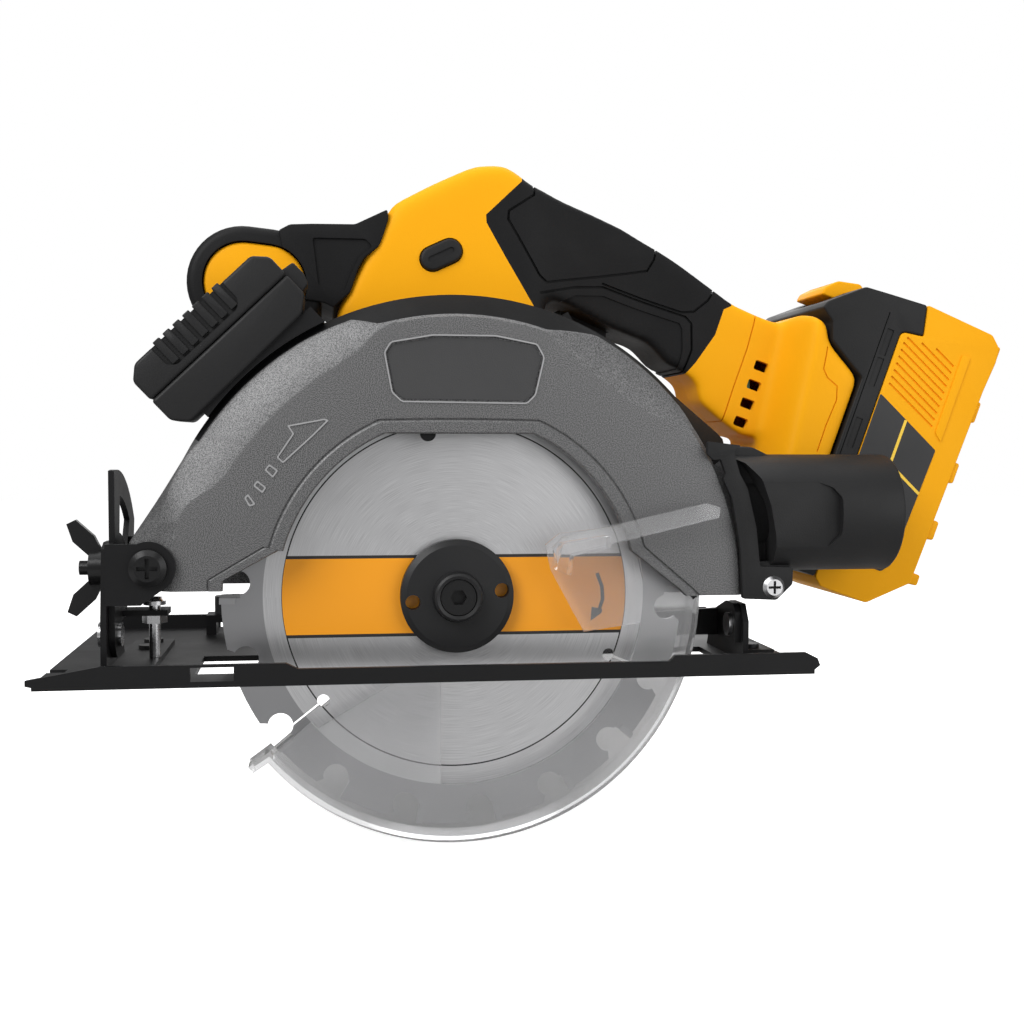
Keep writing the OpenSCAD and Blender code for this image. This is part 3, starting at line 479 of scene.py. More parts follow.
nodeFinish = {
    blackSteel: ["base_plate", "front_base_bracket", "rear_base_bracket", "front_swivel_bracket",
                 "rear_swivel_bracket", "depth_arm", "guide_clamp", "light_box_bracket"],
    blackHardware: ["base_rivets", "bevel_stud", "bevel_wing_nut", "depth_pivot_screw", "arbor_bolt",
                    "housing_screws"],
    platedSteel: ["bevel_pivot_rivets", "bevel_stop_screw", "depth_bolt", "guard_return_spring",
                  "dust_port_screw"],
    blackPlastic: ["guide_screw", "depth_lever", "spindle_lock_button", "cooling_fan", "motor_end_cap",
                   "trigger",
                   "trigger_switch", "terminal_block", "battery_rails", "battery_tray", "dust_port",
                   "light_box_upper", "light_box_lower", "lock_off_button"],
    orangePlastic: ["motor_barrel", "main_housing_right", "main_housing_left", "battery_cover",
                    "battery_latch",
                    "front_handle_core"],
    gripRubber: ["grip_right", "grip_left", "front_handle_sleeve"],
    shaftSteel: ["spindle", "spindle_gear", "spindle_bearings", "motor_shaft", "motor_rotor",
                 "motor_bearings"],
    flangeBlack: ["inner_flange", "outer_flange"],
    gearAlloy: ["gear_housing"],
    windings: ["motor_stator"],
    boardGreen: ["control_board", "battery_board"],
    cellWrap: ["battery_cells"],
    carbide: ["carbide_tips"],
    guardPaint: ["upper_guard"],
    bladeSteel: ["saw_blade"],
    clearPlastic: ["lower_guard"],
    lensSmoke: ["light_lens"],
}
for material, names in nodeFinish.items():
    for name in names:
        node = frame["nodes"][name]
        if not node.material_slots:
            node.data.materials.append(None)
        for place in node.material_slots:
            place.material = material


def finishPiece(piece, body, materials, nodes, shade=35):
    freeze(piece)
    piece.data.materials.clear()
    for material in materials:
        piece.data.materials.append(material)
    smoothShade(piece, shade)
    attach(piece, body)
    if nodes:
        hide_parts(*nodes)
    return piece


guard = {"face": -13, "lip": -13.7, "back": 13.5, "radius": 105.5, "wall": 2.5, "lipWidth": 4.6,
         "noseRadius": 20.3, "arrowWidth": 0.5, "darkFrom": 26, "darkTo": 148, "legEnd": 3.7,
         "bunchFrom": 160}
badgeOutline = [(-25.5, 84.6), (-23.4, 87.9), (-9.2, 90.4), (12.4, 90.4), (26.6, 87.7), (29, 83.4),
                (26, 70.6),
                (23.2, 67.8), (-19.8, 68.2), (-23, 71.2)]
arrowOutlines = [[(-50, 56), (-60, 46.8), (-62.2, 48.8), (-56.8, 56.8), (-58.6, 59.6), (-46, 62),
                  (-44.6, 61.4)],
                 [(-66.2, 44.6), (-64.6, 46.6), (-61.6, 44.4), (-63.4, 41.9)],
                 [(-70, 39.3), (-68.6, 41.1), (-65.6, 38.7), (-66.9, 36.7)],
                 [(-73, 35.2), (-71.7, 36.6), (-69.2, 33), (-71.3, 32.2)]]
guardLeg = [(-94, 48), (-112.4, 18), (-111.4, 6), (-104.4, 0), (-60, -1), (-60, 60)]
guardHeel = [(60, 86), (96, 56), (102, 33), (103.5, 14), (101, -1), (60, -1)]
guardWindow = ([(80.3, -1), (80.3, 0.5), (62.5, 14.5)] + arc(62.5, 15, 65.8, 18)
               + arc(62.5, 114.2, 165, 18) + [(-62, 16.3), (-80.5, 4), (-80.5, -1)])
faceCrease = [(0, 99.3), (26, 100.3), (36, 100), (39, 97.4), (43, 93), (48, 91), (58, 90.6), (66, 92.3),
              (70, 96),
              (72, 96.6), (106, 96.8), (108.5, 94.8), (112, 91.8), (118, 90.2), (126, 89.4), (141, 89.2),
              (151, 89.8),
              (155, 91.8), (158, 95.2), (161, 98.2), (165, 98.8), (171, 98.2), (180, 97)]
sideShoulder = [(0, 100), (36, 101.5), (40, 102.6), (62, 103), (69, 99), (72, 97.2), (106, 97.4),
                (111, 102),
                (120, 102.6), (148, 102.8), (152, 104.2), (159, 104.8), (168, 104.6), (180, 104)]
shoulderDepth = [(0, -12.6), (36, -12), (41, -9.4), (60, -9), (68, -11.4), (72, -12.3), (106, -12.3),
                 (112, -9.2),
                 (120, -8.2), (150, -8.2), (162, -8.8), (180, -9)]


def guardRings(angle):  # radius and depth of each contour, from the window out and round to the back
    window = reach(guardWindow, angle)
    edge = max(guard["radius"], reach(guardLeg, angle), reach(guardHeel, angle))
    crease = max(along(faceCrease, angle), window + guard["lipWidth"] + 3)
    shoulder = max(along(sideShoulder, angle), crease + 0.8)
    rimDepth = -4.6
    lip = guard["lipWidth"]
    return [(window, guard["face"] + guard["wall"]), (window, guard["lip"] + 0.5),
            (window + 0.5, guard["lip"]),
            (window + lip - 0.6, guard["lip"]), (window + lip, guard["lip"] + 0.35),
            (window + lip + 0.3, -12.6),
            (window + lip + 0.9, guard["face"]), (crease - 0.4, guard["face"]),
            (crease + 0.4, guard["face"] + 0.1), (shoulder, along(shoulderDepth, angle)),
            (shoulder + 0.6, along(shoulderDepth, angle) + 0.5),
            (edge - 0.7, rimDepth), (edge, rimDepth + 1), (edge, guard["back"] - 1),
            (edge - 1, guard["back"]), (guard["noseRadius"], guard["back"])]


def guardAngle(angle, radius):  # the last rows bunch up so that the leg ends level, above the base
    last = 180 - math.degrees(math.asin(guard["legEnd"] / radius))
    share = max(0, (angle - guard["bunchFrom"]) / (180 - guard["bunchFrom"]))
    return min(angle, guard["bunchFrom"]) + share * (last - guard["bunchFrom"])


def makeUpperGuard():
    angles = sorted(set([i * 1.5 for i in range(121)] + [13, 65.8, 114.2, 165.3, 177.2]))
    rows = [guardRings(angle) for angle in angles]
    clearSelection()
    bpy.ops.mesh.primitive_grid_add(x_subdivisions=len(rows[0]) - 1, y_subdivisions=len(angles) - 1)
    piece = bpy.context.active_object
    piece.name = "upperGuardCasting"
    across = len(rows[0])
    for index, vert in enumerate(piece.data.vertices):
        radius, depth = rows[index // across][index % across]
        angle = math.radians(guardAngle(angles[index // across], radius))
        vert.co = spot(radius * math.cos(angle), depth, radius * math.sin(angle))
    rim = []
    for face in piece.data.polygons:  # the steep band over the top gets the near-black material, painted shade for the dark top of the guard
        fromStart = angles[face.index // (across - 1)]
        if face.index % (across - 1) in (10, 11, 12) and guard["darkFrom"] < fromStart < guard["darkTo"]:
            rim.append(face.index)
    editAll(piece)
    bpy.ops.mesh.normals_make_consistent(inside=False)
    clearSelection()
    piece.data.materials.append(guardPaint)
    # slot 1 is the near-black painted shade for the top band
    piece.data.materials.append(darkPaintAndRimShade)
    for index in rim:
        piece.data.polygons[index].material_index = 1
    if sum((face.normal.y for face in piece.data.polygons if face.index % (across - 1) == 7)) > 0:
        editAll(piece)
        bpy.ops.mesh.flip_normals()
        clearSelection()
    applyModifier(piece, "SOLIDIFY", thickness=guard["wall"] / 1000, offset=-1)
    cut(piece, prism("badge", badgeOutline, -20, -12.1, corner=1))
    details = [(rod("pivotBoss", 8.2, -104.4, 12, 8, 26.2), guardPaint)]
    details.append((prism("badgePlate", inset(badgeOutline, 0.7), -12.6, -11.5, corner=0.8), badgePaint))
    # the badge's raised edge is painted lighter, a painted highlight
    details.append((hoop("badgeEdge", inset(badgeOutline, -0.5), 0.5, -13.4, -12.5, 1), edgeHighlightPaint))
    for outline in arrowOutlines:  # the turning arrow stands up as thin lines, painted lighter as a painted highlight on their edges
        details.append((hoop("arrowLine", outline, guard["arrowWidth"], -13.35, -12.6, 0.5), edgeHighlightPaint))
    details.append((rod("stopPin", 2.6, -10.8, 57, -12.6, -8.6, 24), darkPaintAndRimShade))
    for detail, material in details:
        detail.data.materials.append(material)
    piece = joined([piece] + [detail for detail, material in details], "upperGuardCasting")
    freeze(piece)
    smoothShade(piece, 28)
    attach(piece, "saw")
    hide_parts("upper_guard")
    print("upper guard made")


housing = {"middle": 55, "frontHalf": 35, "gripHalf": 18.5, "footHalf": 36, "wall": 2.5, "voxel": 1.4,
           "taperStart": 24, "taperLength": 56, "footRise": 9.5, "lineDepth": 1.1, "hollowDepth": 0.6,
           "cutNear": 0, "cutFar": 110}  # the last two reach past both sides
packLean = 19.6
frontOutline = [(-42, 100.4), (-38.5, 108), (-32, 121), (-21, 141), (-6, 149), (9, 155.8), (20, 156.6),
                (27, 152.3), (32, 148),
                (37, 146), (36, 105), (36, 72), (32, 57), (-18, 57), (-36, 72), (-39, 90)]
gripOutline = [(14, 135), (22, 152), (33, 148.4), (42, 144.4), (56.6, 140), (67.3, 136.3), (83.5, 127.8),
               (90.9, 123.2), (105.9, 112.8), (112, 108.4), (120.5, 104.8), (128, 102), (136, 100),
               (134, 56),
               (116, 57), (107, 63.6), (98.6, 70.5), (98.6, 77), (92.5, 82), (86, 84), (78.5, 92.5),
               (62, 98),
               (46, 105), (28, 111)]
footOutline = ([(132.6, 99), (134.4, 103.2), (138.6, 104.2)]
               + leaned([(99.1, 143.7), (103.3, 142.8), (105.9, 136.5), (121.8, 127.4), (121.8, 62)],
                        packLean)
               + [(126, 17), (121.6, 24), (122.6, 53), (126.2, 65), (131.4, 82)])
gripZone = [(13, 137.5), (26.4, 150.2), (29, 170), (118, 170), (111.6, 107.6), (108.4, 106.2),
            (105, 96.3), (97.4, 85.6),
            (93.3, 81), (90, 70), (50, 60), (40, 90), (28.2, 109), (20.4, 122), (13.2, 134.6)]
gripLines = [
    [(32, 170), (31, 145.4), (21.5, 139.2), (21.2, 136.2), (33.2, 116), (36, 113.6), (55, 116.6),
     (77.6, 120.4),
     (80.4, 124.9), (84, 140)],
    [(58.8, 114.6), (70, 111.3), (91.4, 104.7), (96.3, 105.1), (102, 109.6), (110, 122)],
    [(33.4, 109.6), (47.4, 112.4), (59.3, 113.2), (68.3, 110.6), (93, 103), (95.4, 100.4), (95.6, 90.3),
     (91.6, 80)]]
footSeam = [(144.3, 91.0), (142.6, 82.5), (144.2, 79.1), (148.1, 75.9), (147.9, 70.6), (143.9, 61.2),
            (140.4, 50.9)]
neckSeam = [(123.6, 112), (120.7, 101.3), (118, 91.3), (112.4, 75.5), (107.8, 61.4), (104, 50)]
gripHollow = [(38, 80), (41.5, 106.8), (47.4, 109.4), (59.3, 110), (68.3, 107.3), (90.6, 100.6),
              (91.8, 98.4),
              (92, 89.6), (88, 74), (60, 70)]


def ribbon(points, width):  # outline of a line of that width
    left, right = [], []
    for i, (x, z) in enumerate(points):
        before = Vector(points[max(i - 1, 0)])
        after = Vector(points[min(i + 1, len(points) - 1)])
        here = Vector((x, z))
        one, two = (here - before), (after - here)
        one = one.normalized() if one.length > 0 else two.normalized()
        two = two.normalized() if two.length > 0 else one
        across = Vector((-(one + two).y, (one + two).x)).normalized()
        reachOut = width / 2 / max(0.4, across.dot(Vector((-one.y, one.x))))
        left.append(tuple(here + across * reachOut))
        right.append(tuple(here - across * reachOut))
    return left + right[::-1]


def halfSpace(side):  # big block on one side of the middle plane
    near, far = (-20, housing["middle"] - 0.08) if side < 0 else (housing["middle"] + 0.08, 140)
    return prism("half", [(-80, -40), (220, -40), (220, 200), (-80, 200)], near, far)


def halfWidth(x, z):  # wide at the front, slim at the grip, wide again where the battery goes
    front = housing["frontHalf"] + (housing["gripHalf"] - housing["frontHalf"]) * ease(
        (x - housing["taperStart"]) / housing["taperLength"])
    valley = 121.4 + (z - 53) * 0.21
    return front + (housing["footHalf"] - front) * ease((x - valley) / housing["footRise"])


def makeHousing():
    middle = housing["middle"]
    wide = housing["frontHalf"]
    near, far = housing["cutNear"], housing["cutFar"]
    body = joined([
        prism("front", frontOutline, middle - wide, middle + wide, corner=5, edge=12, steps=5),
        prism("grip", gripOutline, middle - wide, middle + wide, corner=2, edge=13, steps=5),
        prism("foot", footOutline, middle - wide, middle + wide, corner=2, edge=7, steps=4)], "body")
    applyModifier(body, "REMESH", mode="VOXEL", voxel_size=housing["voxel"] / 1000)
    applyModifier(body, "SMOOTH", factor=0.6, iterations=12)
    for vert in body.data.vertices:
        x, y, z = (vert.co - arbor) * 1000
        vert.co = spot(x, middle + (y - middle) * halfWidth(x, z) / wide, z)
    applyModifier(body, "SMOOTH", factor=0.6, iterations=6)
    lineSkin = sunk(body, housing["lineDepth"], housing["voxel"])
    hollowSkin = sunk(body, housing["hollowDepth"], housing["voxel"])
    core = sunk(body, housing["wall"], 1.9)
    cut(body, prism("trayRoom", leaned([(122, 20), (122, 127.4), (106.2, 136.6), (103.6, 143.2),
                                        (96, 170), (200, 170),
                                        (200, 20)], packLean), near, far))
    cut(core, prism("trayWall", leaned([(119.5, 20), (119.5, 126), (103.8, 134.6), (101, 141), (93, 170),
                                        (200, 170),
                                        (200, 20)], packLean), near, far))
    vents = [prism("vent", leaned([(-2.7, -1.9), (2.7, -1.9), (2.7, 1.9), (-2.7, 1.9)], packLean, x, z),
                   near, far,
                   corner=0.8) for x, z in [(123.7, 84.2), (120.9, 76.8), (118.3, 69.6), (115.7, 62.4)]]
    cut(body, joined(vents, "vents"))
    cut(body, prism("triggerRoom", [(45, 84), (65, 84), (65, 106), (45, 114)], middle - 7.5, middle + 7.5))
    button = capsule(8.4, 4.8)
    cut(body, prism("buttonRoom", leaned(button, -25, -3.5, 122.5), 0, 40))
    grip = copyOf(body, "grip")
    cut(grip, prism("gripZone", gripZone, near, far), "INTERSECT")
    cut(body, prism("gripRoom", gripZone, near, far))
    for seam in (neckSeam, footSeam):
        engrave(body, prism("line", ribbon(seam, 0.45), near, far), hollowSkin)
    engrave(grip, prism("gripHollow", gripHollow, near, far), hollowSkin)
    engrave(grip, joined([prism("line", ribbon(line, 0.9), near, far) for line in gripLines], "lines"),
            lineSkin)
    for whole, names in ((body, ("housingShellRight", "housingShellLeft")),
                         (grip, ("gripShellRight", "gripShellLeft"))):
        cut(whole, core, keep=True)
        for side, name in zip((-1, 1), names):
            half = copyOf(whole, name)
            cut(half, halfSpace(side), "INTERSECT")
            rubber = whole is grip
            node = {"housingShellRight": "main_housing_right", "housingShellLeft": "main_housing_left",
                    "gripShellRight": "grip_right", "gripShellLeft": "grip_left"}[name]
            finishPiece(half, "saw",
                        [gripRubber if rubber else orangePlastic], [node], 40)
        bpy.data.objects.remove(whole)
    for spare in (core, lineSkin, hollowSkin):
        bpy.data.objects.remove(spare)
    print("housing made")


def capsule(halfLength, radius):
    flat = halfLength - radius
    return arc(radius, -90, 90, 10, flat, 0) + arc(radius, 90, 270, 10, -flat, 0)


def makeLockOff():
    middle = housing["middle"]
    near = middle - housing["frontHalf"] - 1.4
    button = prism("lockOffPad", leaned(capsule(8, 4.4), -25, -3.5, 122.5), near, near + 9.5, edge=1)
    cut(button, prism("slot", leaned(ribbonCapsule(), -25, -3.5, 122.5), near - 1, near + 0.6))
    finishPiece(button, "lock_off", [blackPlastic], ["lock_off_button"])


def ribbonCapsule():
    return capsule(5.2, 1.1)


battery = {"near": 19, "far": 91, "grooves": 10, "groovePitch": 2.75, "ribRows": [(59.8, 64.2),
           (78.6, 86.2), (102, 110.2), (127, 135.4), (150.4, 158.2)]}
trayOutline = [(122.3, 50), (131, 50), (131, 148.8), (132.3, 150), (140, 151.2), (137.4, 162.8),
               (121.4, 161.6),
               (111.9, 160.8), (108.6, 158), (99.5, 150.4), (98.4, 147.4), (103.8, 143.8), (106.4, 136.9),
               (122.3, 127.8)]
coverOutline = [(131.2, 50), (134.5, 47), (154.2, 47), (168.6, 60), (170.6, 140), (171.6, 152),
                (171, 157.5),
                (166.6, 161.4), (137.7, 163), (140.3, 151), (132.4, 149.8), (131.2, 148.6)]


def packPrism(name, points, near, far, corner=0, edge=0, steps=3):
    return prism(name, leaned(points, packLean), near, far, corner, edge, steps)


def oblong(v0, v1, u0, u1):
    return [(v0, u0), (v1, u0), (v1, u1), (v0, u1)]


def makeBattery():
    near, far = battery["near"], battery["far"]
    middle = housing["middle"]
    tray = packPrism("batteryRail", trayOutline, near, far, corner=1.2, edge=2)
    for side in (-1, 1):
        web = middle + side * 24
        foot = web + side * 2.5
        cut(tray, packPrism("channel", oblong(121, 127, 0, 120.5), web - 1.4, web + 1.4))
        cut(tray, packPrism("channel", oblong(124.1, 127, 0, 120.5), foot - 2, foot + 2))
    cut(tray, packPrism("blades", oblong(121, 127.8, 40, 97), middle - 10.4, middle + 10.4))
    cut(tray, packPrism("latchPocket", oblong(102.6, 119.4, 152, 172), middle - 15.4, middle + 15.4))
    marks = [packPrism("mark", oblong(125.4, 128.2, u0, u1), near - 1, near + 0.5, corner=0.3)
             for u0, u1 in ((126, 137.4), (101, 113), (138.5, 149), (80, 92))]
    cut(tray, joined(marks, "marks"))
    groove = packPrism("ridge", oblong(123.9, 124.3, 52, 155), near - 1, near + 0.6)
    cut(tray, groove)
    finishPiece(tray, "battery", [blackPlastic], ["battery_tray"], 40)

    cover = packPrism("batteryShell", coverOutline, near, far, corner=1, edge=2.6, steps=4)
    inner = [(132.4, 52.6), (156, 49.8), (166.2, 61), (168, 150), (163.5, 158.6), (142.6, 159.8),
             (142.8, 148.4),
             (132.4, 147)]
    cut(cover, packPrism("inside", inner, near + 2.6, far - 2.6))
    cells = packPrism("cellRoom", oblong(130.6, 133, 56, 146), near + 2.6, far - 2.6)
    cut(cover, cells)
    grooves = []
    for i in range(battery["grooves"]):
        endU = 144.4 - i * battery["groovePitch"]
        startV = max(133.2, 155.6 - (148.4 - endU) / 0.44)
        ends = [(startV, endU + (155.6 - startV) * 0.44), (155.6, endU)]
        for low, high in ((near - 1, near + 0.7), (far - 0.7, far + 1)):
            grooves.append(packPrism("groove", ribbon(ends, 0.8), low, high))
    cut(cover, joined(grooves, "grooves"))
    extras = []
    for u0, u1 in battery["ribRows"]:
        extras.append(packPrism("rib", oblong(165, 171.9, u0, u1), near + 0.9, far - 0.9, corner=0.9,
                                edge=0.6))
    strip = [(157.4, 150), (160.8, 150), (160.8, 115.2), (157.4, 118)]
    extras.append(packPrism("strip", strip, near - 0.5, near + 1, corner=0.8, edge=0.3))
    extras.append(packPrism("strip", strip, far - 1, far + 0.5, corner=0.8, edge=0.3))
    cover = joined([cover] + extras, "batteryShell")
    finishPiece(cover, "battery", [orangePlastic], ["battery_cover"], 40)

    label = [(131.4, 124.6), (160, 111.6), (158.4, 64), (155.4, 60.4), (131.4, 60.4)]
    lines = [(144.5, 118.4), (144.4, 100.4), (159.4, 93.5)]
    for sideName, y0, y1, step in (("Right", near - 0.25, near + 0.4, -0.12),
                                   ("Left", far - 0.4, far + 0.25, 0.12)):
        plate = packPrism("labelPlate" + sideName, label, y0, y1, corner=0.6, edge=0.1, steps=1)
        finishPiece(plate, "battery", [labelFilm], [])
        stripe = packPrism("labelStripe" + sideName, ribbon(lines, 1.1), y0 + step, y1 + step)
        finishPiece(stripe, "battery", [stripeYellow], [])

    latch = packPrism("latchButton", [(103, 157), (103.4, 160), (107.6, 164.2), (116.6, 166.2),
                                      (119, 164.6), (119, 157)],
                      middle - 15, middle + 15, corner=0.8, edge=1.2)
    ridges = [packPrism("ridge", ribbon([(106 + 2.6 * i, 163 + 0.8 * i),
                                         (107.6 + 2.6 * i, 160.6 + 0.8 * i)], 0.7),
                        middle - 12, middle + 12) for i in range(4)]
    cut(latch, joined(ridges, "ridges"))
    finishPiece(latch, "latch", [orangePlastic], ["battery_latch"])
    print("battery made")


port = {"y": -4, "z": 29, "outer": 21, "bore": 18.5, "throat": 16.4, "start": 98, "end": 157, "flat": -21.6}


def rodX(name, radius, start, end, y, z, sides=96):
    clearSelection()
    bpy.ops.mesh.primitive_cylinder_add(vertices=sides, radius=radius / 1000, depth=(end - start) / 1000,
                                        location=spot((start + end) / 2, y, z),
                                        rotation=(0, math.pi / 2, 0))
    piece = bpy.context.active_object
    piece.name = name
    freeze(piece)
    return piece


def makeDustPort():
    tube = rodX("dustTube", port["outer"], port["start"], port["end"], port["y"], port["z"])
    softEdges(tube, 1.2)
    curve = [(89, 53.6), (94.6, 50.2), (101, 47), (105.1, 41.7), (108.5, 32.2), (110.4, 22), (111.1, 6),
             (80, 0), (80, 60)]
    cut(tube, prism("sweep", curve, -40, -9.5))
    panel = [(100, 41.2), (125, 40.6), (130.6, 38.6), (133.6, 35), (133.7, 22), (128.6, 16.9), (100, 16.8)]
    cut(tube, prism("flat", panel, -40, port["flat"], corner=1))
    block = prism("block", [(103.2, 4), (103.4, 14), (101.6, 33), (96.6, 50.6), (100, 53), (106, 52.6),
                            (112, 49.8),
                            (119, 45), (119, 13), (112, 8.6), (112, 4)], -8, 12.4, corner=1, edge=1.2)
    lip = prism("flange", [(87, 54.6), (86.8, 50.2), (89.2, 48), (91.7, 48.4), (93.6, 43.4),
                           (92.8, 41.2), (96, 34.5),
                           (99.2, 17), (100.3, -1), (112.6, -1.6), (118.4, 4), (118.6, 10), (106.4, 10.4),
                           (105, 24), (101.6, 38), (98.6, 43.4), (96.4, 51), (99, 53.2)], -16.4, -13.9,
                corner=0.7, edge=0.5)
    neck = prism("neck", [(104, -1), (112.6, -1.4), (118, 4), (118, 12), (104.4, 12)], -14.2, -9.6,
                 corner=0.6)
    cut(tube, rodX("bore", port["bore"], 138, 160, port["y"], port["z"]))
    cut(tube, rodX("throat", port["throat"], 122, 139, port["y"], port["z"]))
    cut(tube, rodX("inlet", 12, 90, 123, port["y"], port["z"], 64))
    piece = joined([tube, block, lip, neck], "dustSpout")
    finishPiece(piece, "saw", [blackPlastic], ["dust_port"], 35)
    print("dust port made")


bladeArrow = {"face": -0.88, "width": 1.3, "tail": [(50.7, 7.3), (52.5, 2.5), (52.8, -2.1), (51.6, -5.6)],
              "head": [(48.4, -9.9), (52.3, -7.2), (52.8, -5.8), (48.8, -4.8)]}
handle = {"x": -74.5, "z": 111.5, "radius": 20.2, "stretch": 8.5, "near": 20, "far": 100}


armOutline = [(-62, 130), (-58, 132.2), (-50, 132.6), (-34.7, 132.8), (-23.1, 138.4), (-22.6, 135.4),
              (-24.5, 129.2),
              (-26.1, 125.1), (-31.5, 120.7), (-33.7, 116.7), (-36.5, 108.4), (-37.6, 107.4),
              (-42.6, 102.7),
              (-46, 104.4), (-53.4, 105.4), (-58, 112)]
armPanel = [(-50, 127.6), (-31, 127.6), (-28.4, 125), (-33.4, 121), (-36.4, 114.6), (-38.6, 108.6),
            (-48, 110.6)]


def oval(radius, stretch):
    ring = arc(radius, 90, 270, 24) + arc(radius, -90, 90, 24, stretch)
    return leaned([(v, u) for v, u in ring], 6, handle["x"], handle["z"])


def makeBladeArrow():  # printed on the blade, next to the flange
    tail = prism("arrowTail", ribbon(bladeArrow["tail"], bladeArrow["width"]), bladeArrow["face"], -0.7)
    head = prism("arrowTip", bladeArrow["head"], bladeArrow["face"], -0.7)
    finishPiece(joined([tail, head], "bladeArrow"), "blade_set", [labelFilm], [])


def makeFrontHandle():
    near, far = handle["near"], handle["far"]
    sleeve = prism("handleSleeve", oval(handle["radius"], handle["stretch"]), near, far, edge=3, steps=5)
    cut(sleeve, prism("eye", oval(14.6, 8), near - 2, far + 2))
    arm = prism("arm", armOutline, 19.3, 90.7, corner=0.8, edge=1.6)
    for low, high in ((19, 20.1), (89.9, 91)):  # a shallow panel on each side
        cut(arm, prism("panel", armPanel, low, high, corner=1))
    eyeRoom = prism("eyeRoom", oval(14.6, 8), 10, 110)
    cut(arm, eyeRoom)
    sleeve = joined([sleeve, arm], "handleSleeve")
    finishPiece(sleeve, "saw", [gripRubber], ["front_handle_sleeve"], 38)
    core = prism("handleCore", oval(14.3, 8), near + 0.8, far - 0.8, edge=1.6, steps=4)
    finishPiece(core, "saw", [orangePlastic], ["front_handle_core"])
    print("front handle made")


box = {"x": -81, "z": 88.5, "turn": 43.6, "half": 11, "ribs": 7}


def boxPrism(name, points, near, far, corner=0, edge=0, steps=3):
    return prism(name, leaned(points, -box["turn"], box["x"], box["z"]), near, far, corner, edge, steps)


def makeLightBox():
    half = box["half"]
    upper = boxPrism("lightBoxTop", [(-30.6, 0.55), (31.5, 0.55), (31.5, 8.5), (27, 13), (-26, 13),
                                     (-30.6, 9)],
                     -half, half, corner=1.2, edge=1.8)
    lower = boxPrism("lightBoxBase", [(-30.6, 0.35), (-30.6, -8.6), (-26.2, -13.4), (26, -12.6),
                                      (31.5, -8.5), (31.5, 0.35)],
                     -half, half, corner=1.2, edge=1.8)
    recess = [(-18.6, 14), (-18.6, 5.6), (-16, 3.2), (11.6, 3.2), (14, 5.6), (14, 14)]
    cut(upper, boxPrism("recess", recess, -half - 1, -half + 1.6, corner=1))
    cut(upper, boxPrism("recess", recess, half - 1.6, half + 1, corner=1))
    parts = []
    for i in range(box["ribs"]):
        a = -16.9 + i * 4.45
        parts.append(boxPrism("rib", [(a, 4.2), (a + 2.9, 4.2), (a + 2.9, 13.9), (a, 13.9)], -half, half,
                              corner=0.4, edge=0.7, steps=2))
    upper = joined([upper] + parts, "lightBoxTop")
    collar = boxPrism("collar", [(29, -7.4), (35, -6.4), (36.2, -3), (36.2, 2.4), (29, 3.4)], -7, 7,
                      corner=0.8, edge=1)
    lower = joined([lower, collar], "lightBoxBase")
    finishPiece(upper, "saw", [blackPlastic], ["light_box_upper"], 38)
    finishPiece(lower, "saw", [blackPlastic], ["light_box_lower"], 38)
    print("light box made")


makeUpperGuard()
makeHousing()
makeLockOff()
makeBattery()
makeDustPort()
makeBladeArrow()
makeFrontHandle()
makeLightBox()


view = {"place": (-47.07, -472.07, 52.73), "yaw": 0.141, "pitch": 0.049, "roll": -0.002, "lens": 47.1}
bpy.ops.object.camera_add(location=spot(*view["place"]),
                          rotation=(math.pi / 2 - view["pitch"], view["roll"], -view["yaw"]))
camera = bpy.context.active_object
camera.data.lens = view["lens"]
camera.data.sensor_width = 36
bpy.context.scene.camera = camera

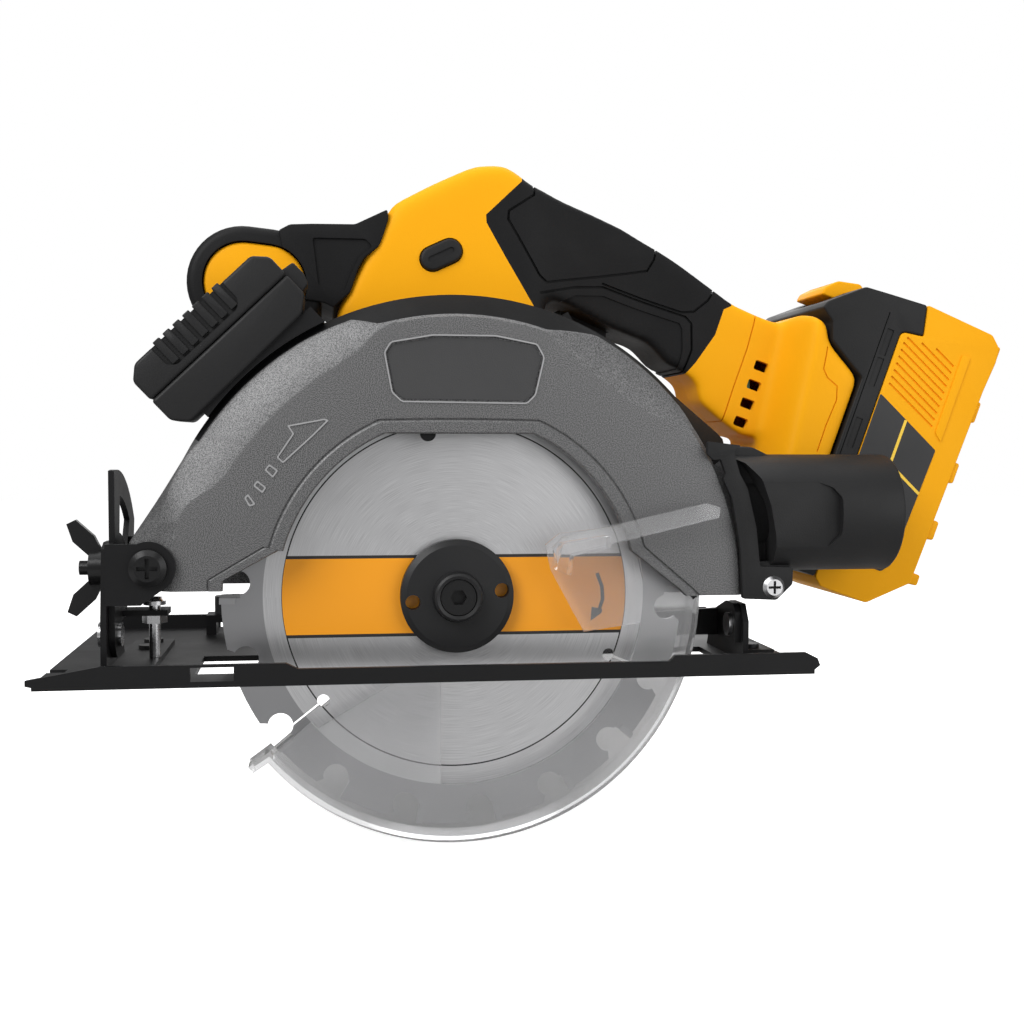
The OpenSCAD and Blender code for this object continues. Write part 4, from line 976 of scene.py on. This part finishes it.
lamps = {  # place, size in metres, watts
    "keyLamp": ((-520, -520, 560), 0.6, 5.9),
    "fillLamp": ((560, -560, 160), 0.8, 2.6),
    "topLamp": ((60, 40, 760), 0.9, 3.2),
    "backLamp": ((200, 620, 420), 0.8, 2.4),
}
for name, (place, size, watts) in lamps.items():
    bpy.ops.object.light_add(type="AREA", location=spot(*place))
    lamp = bpy.context.active_object
    lamp.name = name
    lamp.data.shape = "DISK"
    lamp.data.size = size
    lamp.data.energy = watts
    lamp.rotation_euler = (spot(20, 20, 20) - lamp.location).to_track_quat("-Z", "Y").to_euler()

world = bpy.data.worlds.new("studio")
bpy.context.scene.world = world
world.use_nodes = True
sky = world.node_tree.nodes["Background"]  # white behind everything, and softer where it only lights
sky.inputs["Color"].default_value = (1, 1, 1, 1)
rays = world.node_tree.nodes.new("ShaderNodeLightPath")
seen = world.node_tree.nodes.new("ShaderNodeMath")
seen.operation = "MAXIMUM"
level = world.node_tree.nodes.new("ShaderNodeMapRange")
level.inputs["To Min"].default_value = 0.29
level.inputs["To Max"].default_value = 1
world.node_tree.links.new(rays.outputs["Is Camera Ray"], seen.inputs[0])
world.node_tree.links.new(rays.outputs["Is Transmission Ray"], seen.inputs[1])
world.node_tree.links.new(seen.outputs[0], level.inputs["Value"])
world.node_tree.links.new(level.outputs["Result"], sky.inputs["Strength"])
bpy.context.scene.view_settings.view_transform = "Standard"

clearSelection()
bpy.ops.mesh.primitive_plane_add(size=6, location=(0, 0, cadBox[0][2] - 0.0005))
floor = bpy.context.active_object
floor.name = "floor"
freeze(floor)
floorPaint, nodes, links, shader = newMaterial("floorPaint", Roughness=0.7)
shader.inputs["Emission Color"].default_value = (1, 1, 1, 1)
floorRays = nodes.new("ShaderNodeLightPath")  # white to the eye, paler as a light
floorGlow = nodes.new("ShaderNodeMapRange")
floorGlow.inputs["To Min"].default_value = 0.02
floorGlow.inputs["To Max"].default_value = 0.78
links.new(floorRays.outputs["Is Camera Ray"], floorGlow.inputs["Value"])
floorTone = nodes.new("ShaderNodeMix")
floorTone.data_type = "RGBA"
floorTone.inputs[6].default_value = (0.45, 0.45, 0.45, 1)
floorTone.inputs[7].default_value = (0.9, 0.9, 0.9, 1)
links.new(floorRays.outputs["Is Camera Ray"], floorTone.inputs["Factor"])
links.new(floorTone.outputs[2], shader.inputs["Base Color"])
links.new(floorGlow.outputs["Result"], shader.inputs["Emission Strength"])
floor.data.materials.append(floorPaint)
print("stage set")
